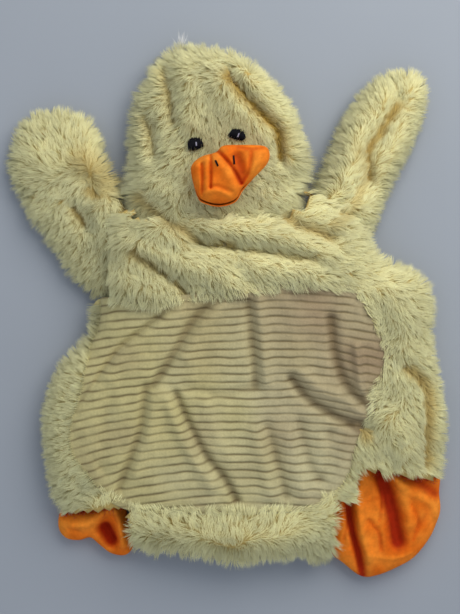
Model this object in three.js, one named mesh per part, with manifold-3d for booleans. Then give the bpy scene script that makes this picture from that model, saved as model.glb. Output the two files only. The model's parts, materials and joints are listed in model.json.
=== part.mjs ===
// A duckling hand puppet with a mouth that opens, lying on its back, empty and limp.
// Millimetres. +Z is up out of the belly, +Y runs toward the head, +X is the puppet's own left.
// Every fabric piece is a closed solid as thick as its cloth and pile together.
import * as THREE from 'three';
import { mergeVertices } from 'three/addons/utils/BufferGeometryUtils.js';
import Module from 'manifold-3d';

const wasm = await Module();
wasm.setup();
const { Manifold, Mesh } = wasm;

// ---- driving sizes ----
const GAP = 0.3;                 // clear space left at every seam
const BODY_LENGTH = 278;         // neck seam to the lowest edge of the hem
const BODY_WIDTH = 332;          // widest place, across the hips
const BODY_HIGH = 44;            // top of the belly above the table
const BODY_MIDDLE = 15;          // height of the body's widest outline
const SKIN = 9;                  // cloth and pile of one body wall
const SIDE_WALL = 10;            // cloth and pile where front and back meet
const BODY_SPLIT = 18;           // height of the seam between front and back
const LINING = 1.5;              // sleeve lining cloth
const SLOT_WIDTH = 112;          // hand opening in the hem
const SLOT_LOW = 11;
const SLOT_HIGH = 24.5;
const BINDING = 2.2;             // thickness of the folded binding tape
const BINDING_DEEP = 9;

const HEAD_HIGH = 36;            // top of the face above the table
const HEAD_MIDDLE = 13;
const HEAD_SKIN = 8.5;
const HEAD_SPLIT = 14;
const HEAD_SCALE = 1;            // head size across and along

const WING_HIGH = 22;            // right wing, spread flat
const WING_SPLIT = 10;
const LEFT_WING_HIGH = 26;       // left wing, folded along its length
const FOOT_HIGH = 26;            // left foot, puffed
const RIGHT_FOOT_HIGH = 21;      // right foot, crumpled
const FOOT_SPLIT = 10.5;

const LOWER_BEAK = 13.1;         // thickness of the lower beak, padding and all
const UPPER_BEAK = 13.5;
const BEAK_LOW = HEAD_HIGH + 0.9;              // underside of the lower beak, on the face
const MOUTH_LEVEL = BEAK_LOW + LOWER_BEAK;     // height of the closed mouth
const BEAK_HIGH = MOUTH_LEVEL + UPPER_BEAK;
const BEAK_SKIN = 2.2;           // velour skin of the beak
const BEAK_SCALE = 1;
const PLATE = 1.2;               // stiff board behind each mouth lining
const FELT = 0.8;                // mouth lining

const EYE_WIDTH = 11.5;
const EYE_HEIGHT = 9.5;
const THREAD = 1.1;              // embroidery thread of the nostrils

// ---- outlines, drawn through few points ----
const WAIST_Y = -70;             // middle of the body, from which its sizes are scaled
const BODY_CENTRE = [8, WAIST_Y];
const WIDE = BODY_WIDTH / 332;
const LONG = BODY_LENGTH / 278;
const BODY = [
  [0, 112], [-40, 108], [-74, 95], [-96, 80], [-106, 55], [-107, 20], [-112, -10],
  [-125, -30], [-142, -49], [-152, -77], [-153, -105], [-147, -137], [-134, -163],
  [-108, -181], [-74, -192], [-38, -201], [2, -208], [42, -207], [80, -202],
  [122, -196], [156, -180], [173, -150], [178, -116], [179, -88], [173, -50],
  [167, -16], [168, 5], [162, 24], [148, 34], [133, 42], [122, 54], [116, 74],
  [95, 92], [72, 102], [40, 110],
];
const BELLY = [
  [-101, 6], [-60, 4], [-33, 9], [12, 14], [49, 19], [80, 17], [98, 15], [109, -1],
  [120, -21], [125, -38], [116, -62], [112, -84], [100, -104], [95, -124], [84, -142],
  [60, -156], [0, -159], [-70, -157], [-94, -146], [-108, -130], [-121, -113],
  [-123, -97], [-119, -81], [-112, -57], [-108, -25],
];
const HEAD_CENTRE = [-8, 126];
const HEAD = [
  [-29, 211], [-10, 209], [8, 205], [21, 197], [36, 185], [47, 170], [56, 154], [62, 137],
  [65, 121], [64, 106], [61, 90], [56, 62], [36, 38], [-8, 30], [-54, 38], [-76, 62],
  [-77, 88], [-76, 104], [-77, 117], [-79, 130], [-79, 144], [-77, 159], [-73, 173],
  [-66, 184], [-59, 197], [-50, 206], [-40, 210],
];
const FACE = [
  [-40, 230], [-18, 230], [-6, 189], [9, 174], [21, 158], [35, 146], [41, 130], [44, 116],
  [42, 95], [38, 50], [-62, 50], [-60, 87], [-56, 107], [-50, 127], [-44, 149],
  [-46, 171], [-49, 192],
];
const RIGHT_WING_CENTRE = [-122, 90];
const RIGHT_WING = [
  [-161, 156], [-148, 161], [-132, 161], [-116, 157], [-106, 144], [-100, 126], [-93, 110],
  [-86, 94], [-74, 78], [-70, 42], [-77, 14], [-92, 4], [-102, 9], [-116, 21], [-130, 40],
  [-150, 64], [-161, 79], [-169, 96], [-176, 107], [-176, 129], [-170, 147],
];
const LEFT_WING_CENTRE = [112, 118];
const LEFT_WING = [
  [137, 191], [147, 194], [156, 192], [160, 180], [158, 153], [146, 124], [135, 99],
  [125, 80], [112, 54], [88, 58], [66, 74], [72, 92], [78, 114], [85, 134], [94, 153],
  [108, 172], [124, 186],
];
const LEFT_FOOT_CENTRE = [124, -166];
const LEFT_FOOT = [
  [97, -104], [130, -104], [160, -112], [171, -130],
  [170, -147], [169, -160], [166, -169], [160, -181], [148, -196], [136, -204],
  [120, -211], [107, -212], [93, -201], [85, -194], [82, -179], [81, -167], [85, -150],
  [90, -128],
];
const RIGHT_FOOT_CENTRE = [-101, -171];
const RIGHT_FOOT = [
  [-136, -175], [-134, -162], [-122, -148], [-100, -144], [-87, -145],
  [-82, -156], [-79, -170], [-76, -180], [-75, -188], [-81, -196], [-92, -194],
  [-102, -187], [-111, -181], [-120, -183], [-131, -181],
];
const BEAK_CENTRE = [0, 106];
const BEAK = [
  [-28, 105], [-26, 112], [-19, 117], [-9, 120], [-3, 125], [12, 125.6], [27, 125],
  [32, 121], [31, 112], [20, 100], [12, 93], [6, 84], [-6, 80.5], [-18, 83], [-23, 88],
];
// The edge along which the left wing is sewn to the shoulder.
const LEFT_WING_ROOT = [[72, 88], [113, 64]];
// The lines along which the feet are sewn to the body.
const LEFT_FOOT_ROOT = [[86, -116.3], [190, -134.1]];
const RIGHT_FOOT_ROOT = [[-190, -166.9], [-79, -149.1]];
const NECK_Y = 70;
const RIGHT_WING_X = -90.35;

// ---- helpers ----
const add = (a, b) => a.add(b);
const cut = (a, b) => a.subtract(b);
const common = (a, b) => a.intersect(b);

function solid(geometry) {
  const plain = geometry.clone();
  plain.deleteAttribute('normal');
  plain.deleteAttribute('uv');
  const merged = mergeVertices(plain, 1e-4);
  const mesh = new Mesh({
    numProp: 3,
    vertProperties: Float32Array.from(merged.attributes.position.array),
    triVerts: Uint32Array.from(merged.index.array),
  });
  mesh.merge();
  return new Manifold(mesh);
}

function block(x0, x1, y0, y1, z0, z1) {
  const shape = new THREE.BoxGeometry(x1 - x0, y1 - y0, z1 - z0);
  shape.translate((x0 + x1) / 2, (y0 + y1) / 2, (z0 + z1) / 2);
  return solid(shape);
}

function smooth(points, count = 200) {
  const through = points.map(([x, y]) => new THREE.Vector3(x, y, 0));
  return new THREE.CatmullRomCurve3(through, true, 'centripetal').getSpacedPoints(count);
}

// How far a closed outline lies from its centre in each direction.
function reacher(points, centre) {
  const ring = smooth(points);
  return (angle) => {
    const dx = Math.cos(angle);
    const dy = Math.sin(angle);
    let far = 0;
    for (let i = 0; i + 1 < ring.length; i += 1) {
      const ax = ring[i].x - centre[0];
      const ay = ring[i].y - centre[1];
      const bx = ring[i + 1].x - ring[i].x;
      const by = ring[i + 1].y - ring[i].y;
      const det = bx * dy - by * dx;
      if (Math.abs(det) > 1e-9) {
        const t = (ay * dx - ax * dy) / det;
        const along = (ay * bx - ax * by) / det;
        if (t >= -1e-9 && t <= 1 + 1e-9 && along > far) far = along;
      }
    }
    return far;
  };
}

// A soft closed form: a sphere drawn out to an outline and flattened.
function pillow(points, centre, low, middle, high, inset = 0, around = 48, rings = 14) {
  const reach = reacher(points, centre);
  const shape = new THREE.SphereGeometry(1, around, rings);
  shape.rotateX(Math.PI / 2);
  const spots = shape.attributes.position;
  for (let i = 0; i < spots.count; i += 1) {
    const flat = Math.min(1, Math.hypot(spots.getX(i), spots.getY(i)));
    const angle = Math.atan2(spots.getY(i), spots.getX(i));
    const up = spots.getZ(i);
    const out = flat < 1e-5 ? 0 : Math.sqrt(flat) * (reach(angle) - inset);
    const z = middle + up * (up > 0 ? high - middle : middle - low);
    spots.setXYZ(i, centre[0] + out * Math.cos(angle), centre[1] + out * Math.sin(angle), z);
  }
  return solid(shape);
}

function area(points) {
  let sum = 0;
  points.forEach(([x, y], i) => {
    const [u, v] = points[(i + 1) % points.length];
    sum += x * v - u * y;
  });
  return sum / 2;
}

// Moves a closed outline inward by a distance, or outward if it is negative.
function inset(points, by) {
  const turn = area(points) > 0 ? 1 : -1;
  const count = points.length;
  return points.map(([x, y], i) => {
    const [px, py] = points[(i + count - 1) % count];
    const [nx, ny] = points[(i + 1) % count];
    const before = new THREE.Vector2(x - px, y - py).normalize();
    const after = new THREE.Vector2(nx - x, ny - y).normalize();
    const side = new THREE.Vector2(-before.y - after.y, before.x + after.x).normalize();
    const miter = Math.max(0.35, side.x * -before.y + side.y * before.x);
    return [x + (side.x * turn * by) / miter, y + (side.y * turn * by) / miter];
  });
}

function prism(points, z0, z1) {
  const shape = new THREE.Shape(points.map(([x, y]) => new THREE.Vector2(x, y)));
  const form = new THREE.ExtrudeGeometry(shape, { depth: z1 - z0, bevelEnabled: false });
  form.translate(0, 0, z0);
  return solid(form);
}

// A closed outline as many points, at a distance inside itself.
function curve(points, by = 0, count = 72) {
  const ring = smooth(points, count).slice(0, -1).map((p) => [p.x, p.y]);
  return inset(ring, by);
}

function scaled(points, centre, wide, long) {
  return points.map(([x, y]) => [
    centre[0] + (x - centre[0]) * wide,
    centre[1] + (y - centre[1]) * long,
  ]);
}

const TABLE = block(-400, 400, -400, 400, 0, 200);
const below = (z) => block(-400, 400, -400, 400, -50, z);
const above = (z) => block(-400, 400, -400, 400, z, 200);

// ---- body ----
const body = scaled(BODY, BODY_CENTRE, WIDE, LONG);
const belly = scaled(BELLY, BODY_CENTRE, WIDE, LONG);
const bx = (x) => BODY_CENTRE[0] + (x - BODY_CENTRE[0]) * WIDE;
const by = (y) => BODY_CENTRE[1] + (y - BODY_CENTRE[1]) * LONG;
const neckY = by(NECK_Y);
const rightWingX = bx(RIGHT_WING_X);
const shift = ([x, y]) => [bx(x), by(y)];
const wingRoot = LEFT_WING_ROOT.map(shift);
const leftFootRoot = LEFT_FOOT_ROOT.map(shift);
const rightFootRoot = RIGHT_FOOT_ROOT.map(shift);
const slot = {
  x0: bx(5) - SLOT_WIDTH / 2,
  x1: bx(5) + SLOT_WIDTH / 2,
  inner: by(-160),
};
const hemY = by(-208);

function lineAt([[x0, y0], [x1, y1]], x) {
  return y0 + ((y1 - y0) * (x - x0)) / (x1 - x0);
}

// The body in plan, less the places of the head, the wings and the feet.
function bodyPlan(by0 = GAP / 2) {
  const edge = rightWingX + by0;
  const neck = neckY - by0;
  const left = bx(63);
  return [
    [edge, by(3.5)], [-390, by(3.5)], [-390, lineAt(rightFootRoot, -390) + by0],
    [rightFootRoot[1][0] + by0, rightFootRoot[1][1] + by0],
    [bx(-73) + by0, by(-188)], [bx(-72) + by0, by(-300)],
    [bx(74) - by0, by(-300)], [bx(78) - by0, by(-167)],
    [leftFootRoot[0][0] - by0, leftFootRoot[0][1] + by0],
    [390, lineAt(leftFootRoot, 390) + by0], [390, lineAt(wingRoot, 390) - 1.2 * by0],
    [left, lineAt(wingRoot, left) - 1.2 * by0], [left, neck], [edge, neck],
  ];
}

function bodyShell() {
  const full = pillow(body, BODY_CENTRE, -10, BODY_MIDDLE, BODY_HIGH);
  const hollow = pillow(
    body, BODY_CENTRE, SKIN - 0.5, BODY_SPLIT, BODY_HIGH - SKIN, SIDE_WALL, 40, 12,
  );
  const slotHole = block(slot.x0, slot.x1, hemY - 30, slot.inner, SLOT_LOW, SLOT_HIGH);
  const walls = cut(cut(full, hollow), slotHole);
  return common(common(walls, TABLE), prism(bodyPlan(), -20, 90));
}

function bodyPanels() {
  const shell = bodyShell();
  const front = common(shell, above(BODY_SPLIT + GAP / 2));
  const back = common(shell, below(BODY_SPLIT - GAP / 2));
  const bellyLoop = curve(belly, 0, 60);
  const ring = cut(front, prism(inset(bellyLoop, -GAP / 2), -20, 90));
  const parts = {
    belly_panel: common(front, prism(inset(bellyLoop, GAP / 2), -20, 90)),
    chest_panel: [
      [-97, -20], [60, -20], [99, 16], [109, 40], [132, 120], [260, 300], [-97, 300],
    ],
    side_panel_left: [
      [99, 16], [109, 40], [132, 120], [260, 300], [300, -134], [88, -134], [60, -100], [60, -20],
    ],
    hem_panel: [
      [-84, -100], [60, -100], [88, -134], [300, -134], [300, -300], [-84, -300],
    ],
    side_panel_right: [
      [-300, 40], [-97, 40], [-97, -20], [-84, -100], [-84, -300], [-300, -300],
    ],
  };
  for (const name of ['chest_panel', 'side_panel_left', 'hem_panel', 'side_panel_right']) {
    parts[name] = common(ring, prism(inset(parts[name].map(shift), GAP / 2), -20, 90));
  }
  const seam = BODY_CENTRE[0];
  parts.back_panel_left = common(back, block(seam + GAP / 2, 400, -400, 400, -20, 90));
  parts.back_panel_right = common(back, block(-400, seam - GAP / 2, -400, 400, -20, 90));
  return parts;
}

// A loose cloth bag just inside the body walls, open at the hem and the neck.
function sleeveLining() {
  const out = pillow(
    body, BODY_CENTRE, SKIN + 0.6, BODY_SPLIT, BODY_HIGH - SKIN - 1.1, SIDE_WALL + 6, 32, 10,
  );
  const inside = pillow(
    body, BODY_CENTRE, SKIN + 0.6 + LINING, BODY_SPLIT, BODY_HIGH - SKIN - 1.1 - LINING,
    SIDE_WALL + 6 + LINING, 32, 10,
  );
  const slotHole = block(slot.x0, slot.x1, hemY - 30, slot.inner, SLOT_LOW, SLOT_HIGH);
  const bag = common(cut(cut(out, inside), slotHole), prism(bodyPlan(2.5), -20, 90));
  const neckless = common(bag, block(-400, 400, -400, neckY - GAP / 2, -20, 90));
  return {
    sleeve_lining_front: common(neckless, above(BODY_SPLIT + GAP / 2)),
    sleeve_lining_back: common(neckless, below(BODY_SPLIT - GAP / 2)),
  };
}

// Tape folded over the raw edges of the hand opening.
function openingBinding() {
  const outer = prism(curve(body, 7, 60), -20, 90);
  const inner = prism(curve(body, 7 + BINDING_DEEP, 60), -30, 95);
  const tape = cut(outer, inner);
  const x0 = slot.x0 + 2;
  const x1 = slot.x1 - 2;
  const y0 = hemY - 20;
  const y1 = hemY + 30;
  const high = SLOT_HIGH - GAP;
  const low = SLOT_LOW + GAP;
  return {
    opening_binding_front: common(tape, block(x0, x1, y0, y1, high - BINDING, high)),
    opening_binding_back: common(tape, block(x0, x1, y0, y1, low, low + BINDING)),
  };
}

// ---- head ----
const hy = (y) => HEAD_CENTRE[1] + (y - HEAD_CENTRE[1]) * HEAD_SCALE;
const headLift = neckY - hy(NECK_Y);
const toHead = ([x, y]) => [
  HEAD_CENTRE[0] + (x - HEAD_CENTRE[0]) * HEAD_SCALE,
  hy(y) + headLift,
];
const headCentre = toHead(HEAD_CENTRE);
const headLine = HEAD.map(toHead);
const beakShift = ([x, y]) => {
  const [cx, cy] = toHead(BEAK_CENTRE);
  return [cx + (x - BEAK_CENTRE[0]) * BEAK_SCALE, cy + (y - BEAK_CENTRE[1]) * BEAK_SCALE];
};
const beakCentre = beakShift(BEAK_CENTRE);
const beakLine = BEAK.map(beakShift);
// The passage by which fingers and thumb pass from the head into the beak.
const throat = {
  x0: beakShift([-6, 0])[0],
  x1: beakShift([21, 0])[0],
  y0: beakShift([0, 111])[1],
  y1: beakShift([0, 119.5])[1],
};

function headTop(x, y) {
  const reach = reacher(headLine, headCentre);
  const dx = x - headCentre[0];
  const dy = y - headCentre[1];
  const part = Math.min(1, Math.hypot(dx, dy) / reach(Math.atan2(dy, dx)));
  return HEAD_MIDDLE + (HEAD_HIGH - HEAD_MIDDLE) * Math.sqrt(1 - part ** 4);
}

function headPanels() {
  const full = pillow(headLine, headCentre, -8, HEAD_MIDDLE, HEAD_HIGH, 0, 40, 12);
  const hollow = pillow(
    headLine, headCentre, HEAD_SKIN - 1, HEAD_SPLIT, HEAD_HIGH - HEAD_SKIN, SIDE_WALL, 32, 10,
  );
  const passage = block(throat.x0, throat.x1, throat.y0, throat.y1, HEAD_SPLIT + 2, 60);
  const walls = common(cut(cut(full, hollow), passage), TABLE);
  const shell = common(walls, block(-400, 400, neckY + GAP / 2, 500, -20, 90));
  const front = common(shell, above(HEAD_SPLIT + GAP / 2));
  const back = common(shell, below(HEAD_SPLIT - GAP / 2));
  const face = FACE.map(toHead);
  const sides = cut(front, prism(inset(face, -GAP / 2), -20, 90));
  const crown = toHead([-29, 0])[0];
  return {
    face_panel: common(front, prism(inset(face, GAP / 2), -20, 90)),
    head_side_left: common(sides, block(crown + GAP / 2, 400, -400, 500, -20, 90)),
    head_side_right: common(sides, block(-400, crown - GAP / 2, -400, 500, -20, 90)),
    head_back_left: common(back, block(headCentre[0] + GAP / 2, 400, -400, 500, -20, 90)),
    head_back_right: common(back, block(-400, headCentre[0] - GAP / 2, -400, 500, -20, 90)),
  };
}

// An embroidered eye: a low dome of satin stitch with a flat lower edge, and a white glint.
function eye(x, y, tilt, wide, tall) {
  const level = headTop(x, y) + 0.45;
  const dome = new THREE.SphereGeometry(0.5, 24, 12);
  dome.scale(wide, tall * 1.5, 3);
  dome.translate(0, -tall * 0.22, 0);
  let pad = common(solid(dome), block(-20, 20, -tall * 0.5, 20, 0, 20));
  const glint = new THREE.SphereGeometry(0.5, 12, 8);
  glint.scale(1.6, 2.6, 0.9);
  glint.translate(0.8, 0.2, 2.2);
  pad = pad.rotate([0, 0, tilt]).translate([x, y, level]);
  const spark = solid(glint).rotate([0, 0, tilt]).translate([x, y, level]);
  return [pad, spark];
}

function eyes() {
  const [rx, ry] = toHead([-25, 128]);
  const [lx, ly] = toHead([7.5, 135.5]);
  const [right, rightSpark] = eye(rx, ry, 4, EYE_WIDTH, EYE_HEIGHT);
  const [left, leftSpark] = eye(lx, ly, -24, EYE_WIDTH, EYE_HEIGHT);
  return {
    eye_right: right,
    eye_highlight_right: rightSpark,
    eye_left: left,
    eye_highlight_left: leftSpark,
  };
}

// A few long white fibres caught in the crown seam.
function crownWisps() {
  const [x, y] = toHead([-36, 211.4]);
  const tuft = new THREE.ConeGeometry(2.2, 12, 8);
  tuft.translate(0, 6, 0);
  tuft.rotateZ(0.3);
  tuft.translate(x, y + 0.7, HEAD_MIDDLE);
  return { crown_wisps: solid(tuft) };
}

// ---- beak ----
function beakForm(skin, level, around) {
  return pillow(
    beakLine, beakCentre, BEAK_LOW + skin, level, BEAK_HIGH - skin, skin, around, 12,
  );
}

function beak() {
  const form = beakForm(0, MOUTH_LEVEL, 32);
  const hollow = beakForm(BEAK_SKIN, MOUTH_LEVEL, 32);
  const shell = cut(form, hollow);
  const passage = block(throat.x0, throat.x1, throat.y0, throat.y1, BEAK_LOW - 5, MOUTH_LEVEL);
  const lowLiningTop = MOUTH_LEVEL - GAP / 2;
  const highLiningLow = MOUTH_LEVEL + GAP / 2;
  const plan = (by0) => prism(curve(beakLine, by0, 40), -20, 90);
  const mouthEnd = throat.y0 - 1;
  const front = block(-400, 400, -400, mouthEnd, -20, 90);
  const lowerSkin = common(cut(shell, passage), below(lowLiningTop));
  const upperSkin = common(shell, above(highLiningLow));
  const linings = (z0, z1, by0) => common(common(plan(by0), front), block(-400, 400, -400, 400, z0, z1));
  const f0 = lowLiningTop - FELT;
  const p0 = f0 - GAP / 2 - PLATE;
  const f1 = highLiningLow + FELT;
  const p1 = f1 + GAP / 2;
  const pocket = (z0, z1) => {
    const out = common(beakForm(BEAK_SKIN + 0.4, MOUTH_LEVEL, 28), block(-400, 400, -400, throat.y0 - 1.4, z0, z1));
    const space = common(
      beakForm(BEAK_SKIN + 1.4, MOUTH_LEVEL, 28), block(-400, 400, -400, 400, z0 + 1, z1 - 1),
    );
    return cut(out, space);
  };
  return {
    beak_lower_skin: lowerSkin,
    mouth_floor: linings(f0, lowLiningTop, BEAK_SKIN + 1),
    mouth_plate_lower: linings(p0, p0 + PLATE, BEAK_SKIN + 1.4),
    thumb_pocket: pocket(BEAK_LOW, p0 - GAP / 2),
    beak_upper_skin: upperSkin,
    mouth_palate: linings(highLiningLow, f1, BEAK_SKIN + 1),
    mouth_plate_upper: linings(p1, p1 + PLATE, BEAK_SKIN + 1.4),
    finger_pocket: pocket(p1 + PLATE + GAP / 2, BEAK_HIGH),
  };
}

function beakTop(x, y) {
  const reach = reacher(beakLine, beakCentre);
  const dx = x - beakCentre[0];
  const dy = y - beakCentre[1];
  const part = Math.min(1, Math.hypot(dx, dy) / reach(Math.atan2(dy, dx)));
  return MOUTH_LEVEL + (BEAK_HIGH - MOUTH_LEVEL) * Math.sqrt(1 - part ** 4);
}

function nostril(x, y, tilt) {
  const [cx, cy] = beakShift([x, y]);
  const stitch = new THREE.CapsuleGeometry(THREAD / 2, 5.5, 4, 10);
  const level = Math.max(beakTop(cx, cy + 3), beakTop(cx, cy - 3), beakTop(cx, cy));
  return solid(stitch).rotate([0, 0, tilt]).translate([cx, cy, level + THREAD / 2 + 0.3]);
}

// ---- wings and feet ----
function halves(form, split, names) {
  return {
    [names[0]]: common(form, above(split + GAP / 2)),
    [names[1]]: common(form, below(split - GAP / 2)),
  };
}

function rightWing() {
  const line = RIGHT_WING.map(([x, y]) => [x + rightWingX - RIGHT_WING_X, by(y) ]);
  const centre = [RIGHT_WING_CENTRE[0] + rightWingX - RIGHT_WING_X, by(RIGHT_WING_CENTRE[1])];
  const full = pillow(line, centre, -5, 9, WING_HIGH, 0, 36, 12);
  const kept = common(
    common(full, TABLE), block(-400, rightWingX - GAP / 2, by(3.5) + GAP, 400, -20, 90),
  );
  return halves(kept, WING_SPLIT, ['wing_right_front', 'wing_right_back']);
}

function leftWing() {
  const line = LEFT_WING.map(shift);
  const full = pillow(line, shift(LEFT_WING_CENTRE), -5, 10, LEFT_WING_HIGH, 0, 36, 12);
  const edge = [
    [-100, lineAt(wingRoot, -100) + GAP], [500, lineAt(wingRoot, 500) + GAP], [500, 600], [-100, 600],
  ];
  const kept = common(common(full, TABLE), prism(edge, -20, 90));
  return halves(kept, WING_SPLIT + 1.5, ['wing_left_front', 'wing_left_back']);
}

// A foot is cut off along the line where it is sewn to the body.
function foot(outline, middleOf, root, split, high, names) {
  const full = pillow(outline.map(shift), shift(middleOf), -5, split, high, 0, 36, 12);
  const edge = [
    [-400, lineAt(root, -400) - GAP / 2], [-400, -600],
    [400, -600], [400, lineAt(root, 400) - GAP / 2],
  ];
  return halves(common(common(full, TABLE), prism(edge, -20, 90)), split, names);
}

function feet() {
  return {
    ...foot(
      LEFT_FOOT, LEFT_FOOT_CENTRE, leftFootRoot, FOOT_SPLIT, FOOT_HIGH,
      ['foot_left_top', 'foot_left_sole'],
    ),
    ...foot(
      RIGHT_FOOT, RIGHT_FOOT_CENTRE, rightFootRoot, FOOT_SPLIT - 1.5, RIGHT_FOOT_HIGH,
      ['foot_right_top', 'foot_right_sole'],
    ),
  };
}

// ---- materials ----
const COLOURS = {
  plush: 0xd8d39a,
  ribbed: 0xcfc695,
  velour: 0xe8740f,
  cotton: 0xe9e4d2,
  board: 0x8a8378,
  felt: 0xb8401c,
  thread: 0x17171a,
  white: 0xf4f4f0,
};

function mesh(name, shape, kind) {
  const made = shape.getMesh();
  const geometry = new THREE.BufferGeometry();
  const count = made.vertProperties.length / made.numProp;
  const spots = new Float32Array(count * 3);
  for (let i = 0; i < count; i += 1) {
    for (let k = 0; k < 3; k += 1) spots[i * 3 + k] = made.vertProperties[i * made.numProp + k];
  }
  geometry.setAttribute('position', new THREE.BufferAttribute(spots, 3));
  geometry.setIndex(new THREE.BufferAttribute(Uint32Array.from(made.triVerts), 1));
  geometry.computeVertexNormals();
  const material = new THREE.MeshStandardMaterial({ color: COLOURS[kind], roughness: 0.9 });
  material.name = kind;
  const part = new THREE.Mesh(geometry, material);
  part.name = name;
  return part;
}

const KINDS = {
  belly_panel: 'ribbed',
  sleeve_lining_front: 'cotton',
  sleeve_lining_back: 'cotton',
  opening_binding_front: 'cotton',
  opening_binding_back: 'cotton',
  eye_left: 'thread',
  eye_right: 'thread',
  eye_highlight_left: 'white',
  eye_highlight_right: 'white',
  crown_wisps: 'white',
  beak_lower_skin: 'velour',
  beak_upper_skin: 'velour',
  mouth_floor: 'felt',
  mouth_palate: 'felt',
  mouth_plate_lower: 'board',
  mouth_plate_upper: 'board',
  thumb_pocket: 'cotton',
  finger_pocket: 'cotton',
  nostril_left: 'thread',
  nostril_right: 'thread',
  foot_left_top: 'velour',
  foot_left_sole: 'velour',
  foot_right_top: 'velour',
  foot_right_sole: 'velour',
};

const puppet = new THREE.Group();
puppet.name = 'duckling_puppet';
const pieces = {
  ...bodyPanels(),
  ...sleeveLining(),
  ...openingBinding(),
  ...headPanels(),
  ...eyes(),
  ...crownWisps(),
  ...beak(),
  nostril_right: nostril(-6.5, 109.5, 20),
  nostril_left: nostril(5, 113, 4),
  ...rightWing(),
  ...leftWing(),
  ...feet(),
};
for (const [name, shape] of Object.entries(pieces)) {
  puppet.add(mesh(name, shape, KINDS[name] ?? 'plush'));
}

// The origin is the middle of the bottom of the whole puppet's box.
const box = new THREE.Box3().setFromObject(puppet);
for (const part of puppet.children) {
  part.geometry.translate(-(box.min.x + box.max.x) / 2, -(box.min.y + box.max.y) / 2, -box.min.z);
}

export default puppet;
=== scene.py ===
# %% [markdown]
# A duckling hand puppet lies on its back, empty and limp. It is sewn from long-pile plush in pale
# yellow, with a ribbed belly, an orange velour beak that opens, and orange velour feet.
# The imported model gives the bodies, the joints and the plain solids. This lesson dresses them.
# Places are drawn in millimetres on one plan, seen from above, and moved into the frame at the end.

import json
import math

import bmesh
import bpy
import numpy as np
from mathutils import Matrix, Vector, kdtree


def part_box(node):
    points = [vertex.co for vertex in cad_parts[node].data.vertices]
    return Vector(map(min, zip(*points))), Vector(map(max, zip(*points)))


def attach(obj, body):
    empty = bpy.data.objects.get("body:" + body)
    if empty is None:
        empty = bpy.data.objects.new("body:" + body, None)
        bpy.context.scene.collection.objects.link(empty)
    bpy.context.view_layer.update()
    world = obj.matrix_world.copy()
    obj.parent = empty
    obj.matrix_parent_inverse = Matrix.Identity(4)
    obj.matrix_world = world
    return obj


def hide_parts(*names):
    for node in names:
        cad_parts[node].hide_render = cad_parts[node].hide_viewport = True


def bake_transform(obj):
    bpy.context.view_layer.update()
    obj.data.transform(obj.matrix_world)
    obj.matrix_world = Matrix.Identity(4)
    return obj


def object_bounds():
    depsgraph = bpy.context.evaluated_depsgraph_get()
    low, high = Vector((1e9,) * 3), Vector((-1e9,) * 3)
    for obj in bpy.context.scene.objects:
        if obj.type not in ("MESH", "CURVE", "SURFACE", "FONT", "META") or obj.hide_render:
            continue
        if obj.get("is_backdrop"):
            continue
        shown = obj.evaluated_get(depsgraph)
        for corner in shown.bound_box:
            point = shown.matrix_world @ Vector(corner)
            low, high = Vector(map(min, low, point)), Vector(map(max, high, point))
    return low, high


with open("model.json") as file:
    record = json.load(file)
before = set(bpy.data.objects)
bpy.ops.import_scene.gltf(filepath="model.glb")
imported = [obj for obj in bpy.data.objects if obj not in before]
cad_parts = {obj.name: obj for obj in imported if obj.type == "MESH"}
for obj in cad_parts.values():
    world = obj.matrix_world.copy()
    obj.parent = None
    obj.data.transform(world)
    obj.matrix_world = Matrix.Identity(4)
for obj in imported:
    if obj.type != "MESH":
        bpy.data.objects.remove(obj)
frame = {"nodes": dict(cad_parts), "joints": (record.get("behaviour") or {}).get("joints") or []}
cad_low, cad_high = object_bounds()
joints = {joint["name"]: joint for joint in frame["joints"]}

# %% [markdown]
# The plan's zero lies a little off the frame's own zero, which is the middle of the object's box.
# Everything below is drawn on the plan, and one function turns a plan point into a frame point.

# %% Plan and frame
MM = 0.001
PLAN_ZERO = np.array([1.15, 5.77, 0.0])     # where the frame's zero lies on the plan


def to_frame(points):
    return (np.asarray(points, float) - PLAN_ZERO) * MM


size = (np.array(cad_high) - np.array(cad_low)) / MM
print("size in mm", size.round(1))

# %% [markdown]
# The puppet is looked at from straight above, so the camera hangs over the middle of it. The
# drawing is true at the height of the widest outline, about 15 mm over the table.

# %% Camera
CAMERA_HIGH = 0.9
VIEW_LONG = 0.4912                          # length of table seen along the frame's long side
OUTLINE_HIGH = 0.015
VIEW_MIDDLE = (0.85 * MM, -4.57 * MM)

camera_data = bpy.data.cameras.new("camera")
camera_data.sensor_width = 36
camera_data.lens = 36 * (CAMERA_HIGH - OUTLINE_HIGH) / VIEW_LONG
camera = bpy.data.objects.new("camera", camera_data)
camera.location = (*VIEW_MIDDLE, CAMERA_HIGH)
bpy.context.scene.collection.objects.link(camera)
bpy.context.scene.camera = camera
bpy.context.scene.view_settings.view_transform = "Standard"
print("lens", round(camera_data.lens, 1))

# %% [markdown]
# Colours are written as sRGB hex, as a colour picker shows them, and one function makes them
# linear. One more function adds a node, sets it and links it, whatever its kind.


# %% Colour and node helpers
def linear(code):
    parts = [int(code[i:i + 2], 16) / 255 for i in (1, 3, 5)]
    return [*(p / 12.92 if p <= 0.04045 else ((p + 0.055) / 1.055) ** 2.4 for p in parts), 1.0]


def node(tree, kind, inputs=None, **settings):
    made = tree.nodes.new(kind)
    for name, value in settings.items():
        setattr(made, name, value)
    for name, value in (inputs or {}).items():
        if isinstance(value, bpy.types.NodeSocket):
            tree.links.new(value, made.inputs[name])
        else:
            made.inputs[name].default_value = value
    return made


def material(name, **uniform):
    made = bpy.data.materials.new(name)
    made.use_nodes = True
    shader = made.node_tree.nodes["Principled BSDF"]
    for socket, value in uniform.items():
        shader.inputs[socket.replace("_", " ")].default_value = value
    return made, made.node_tree, shader


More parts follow.
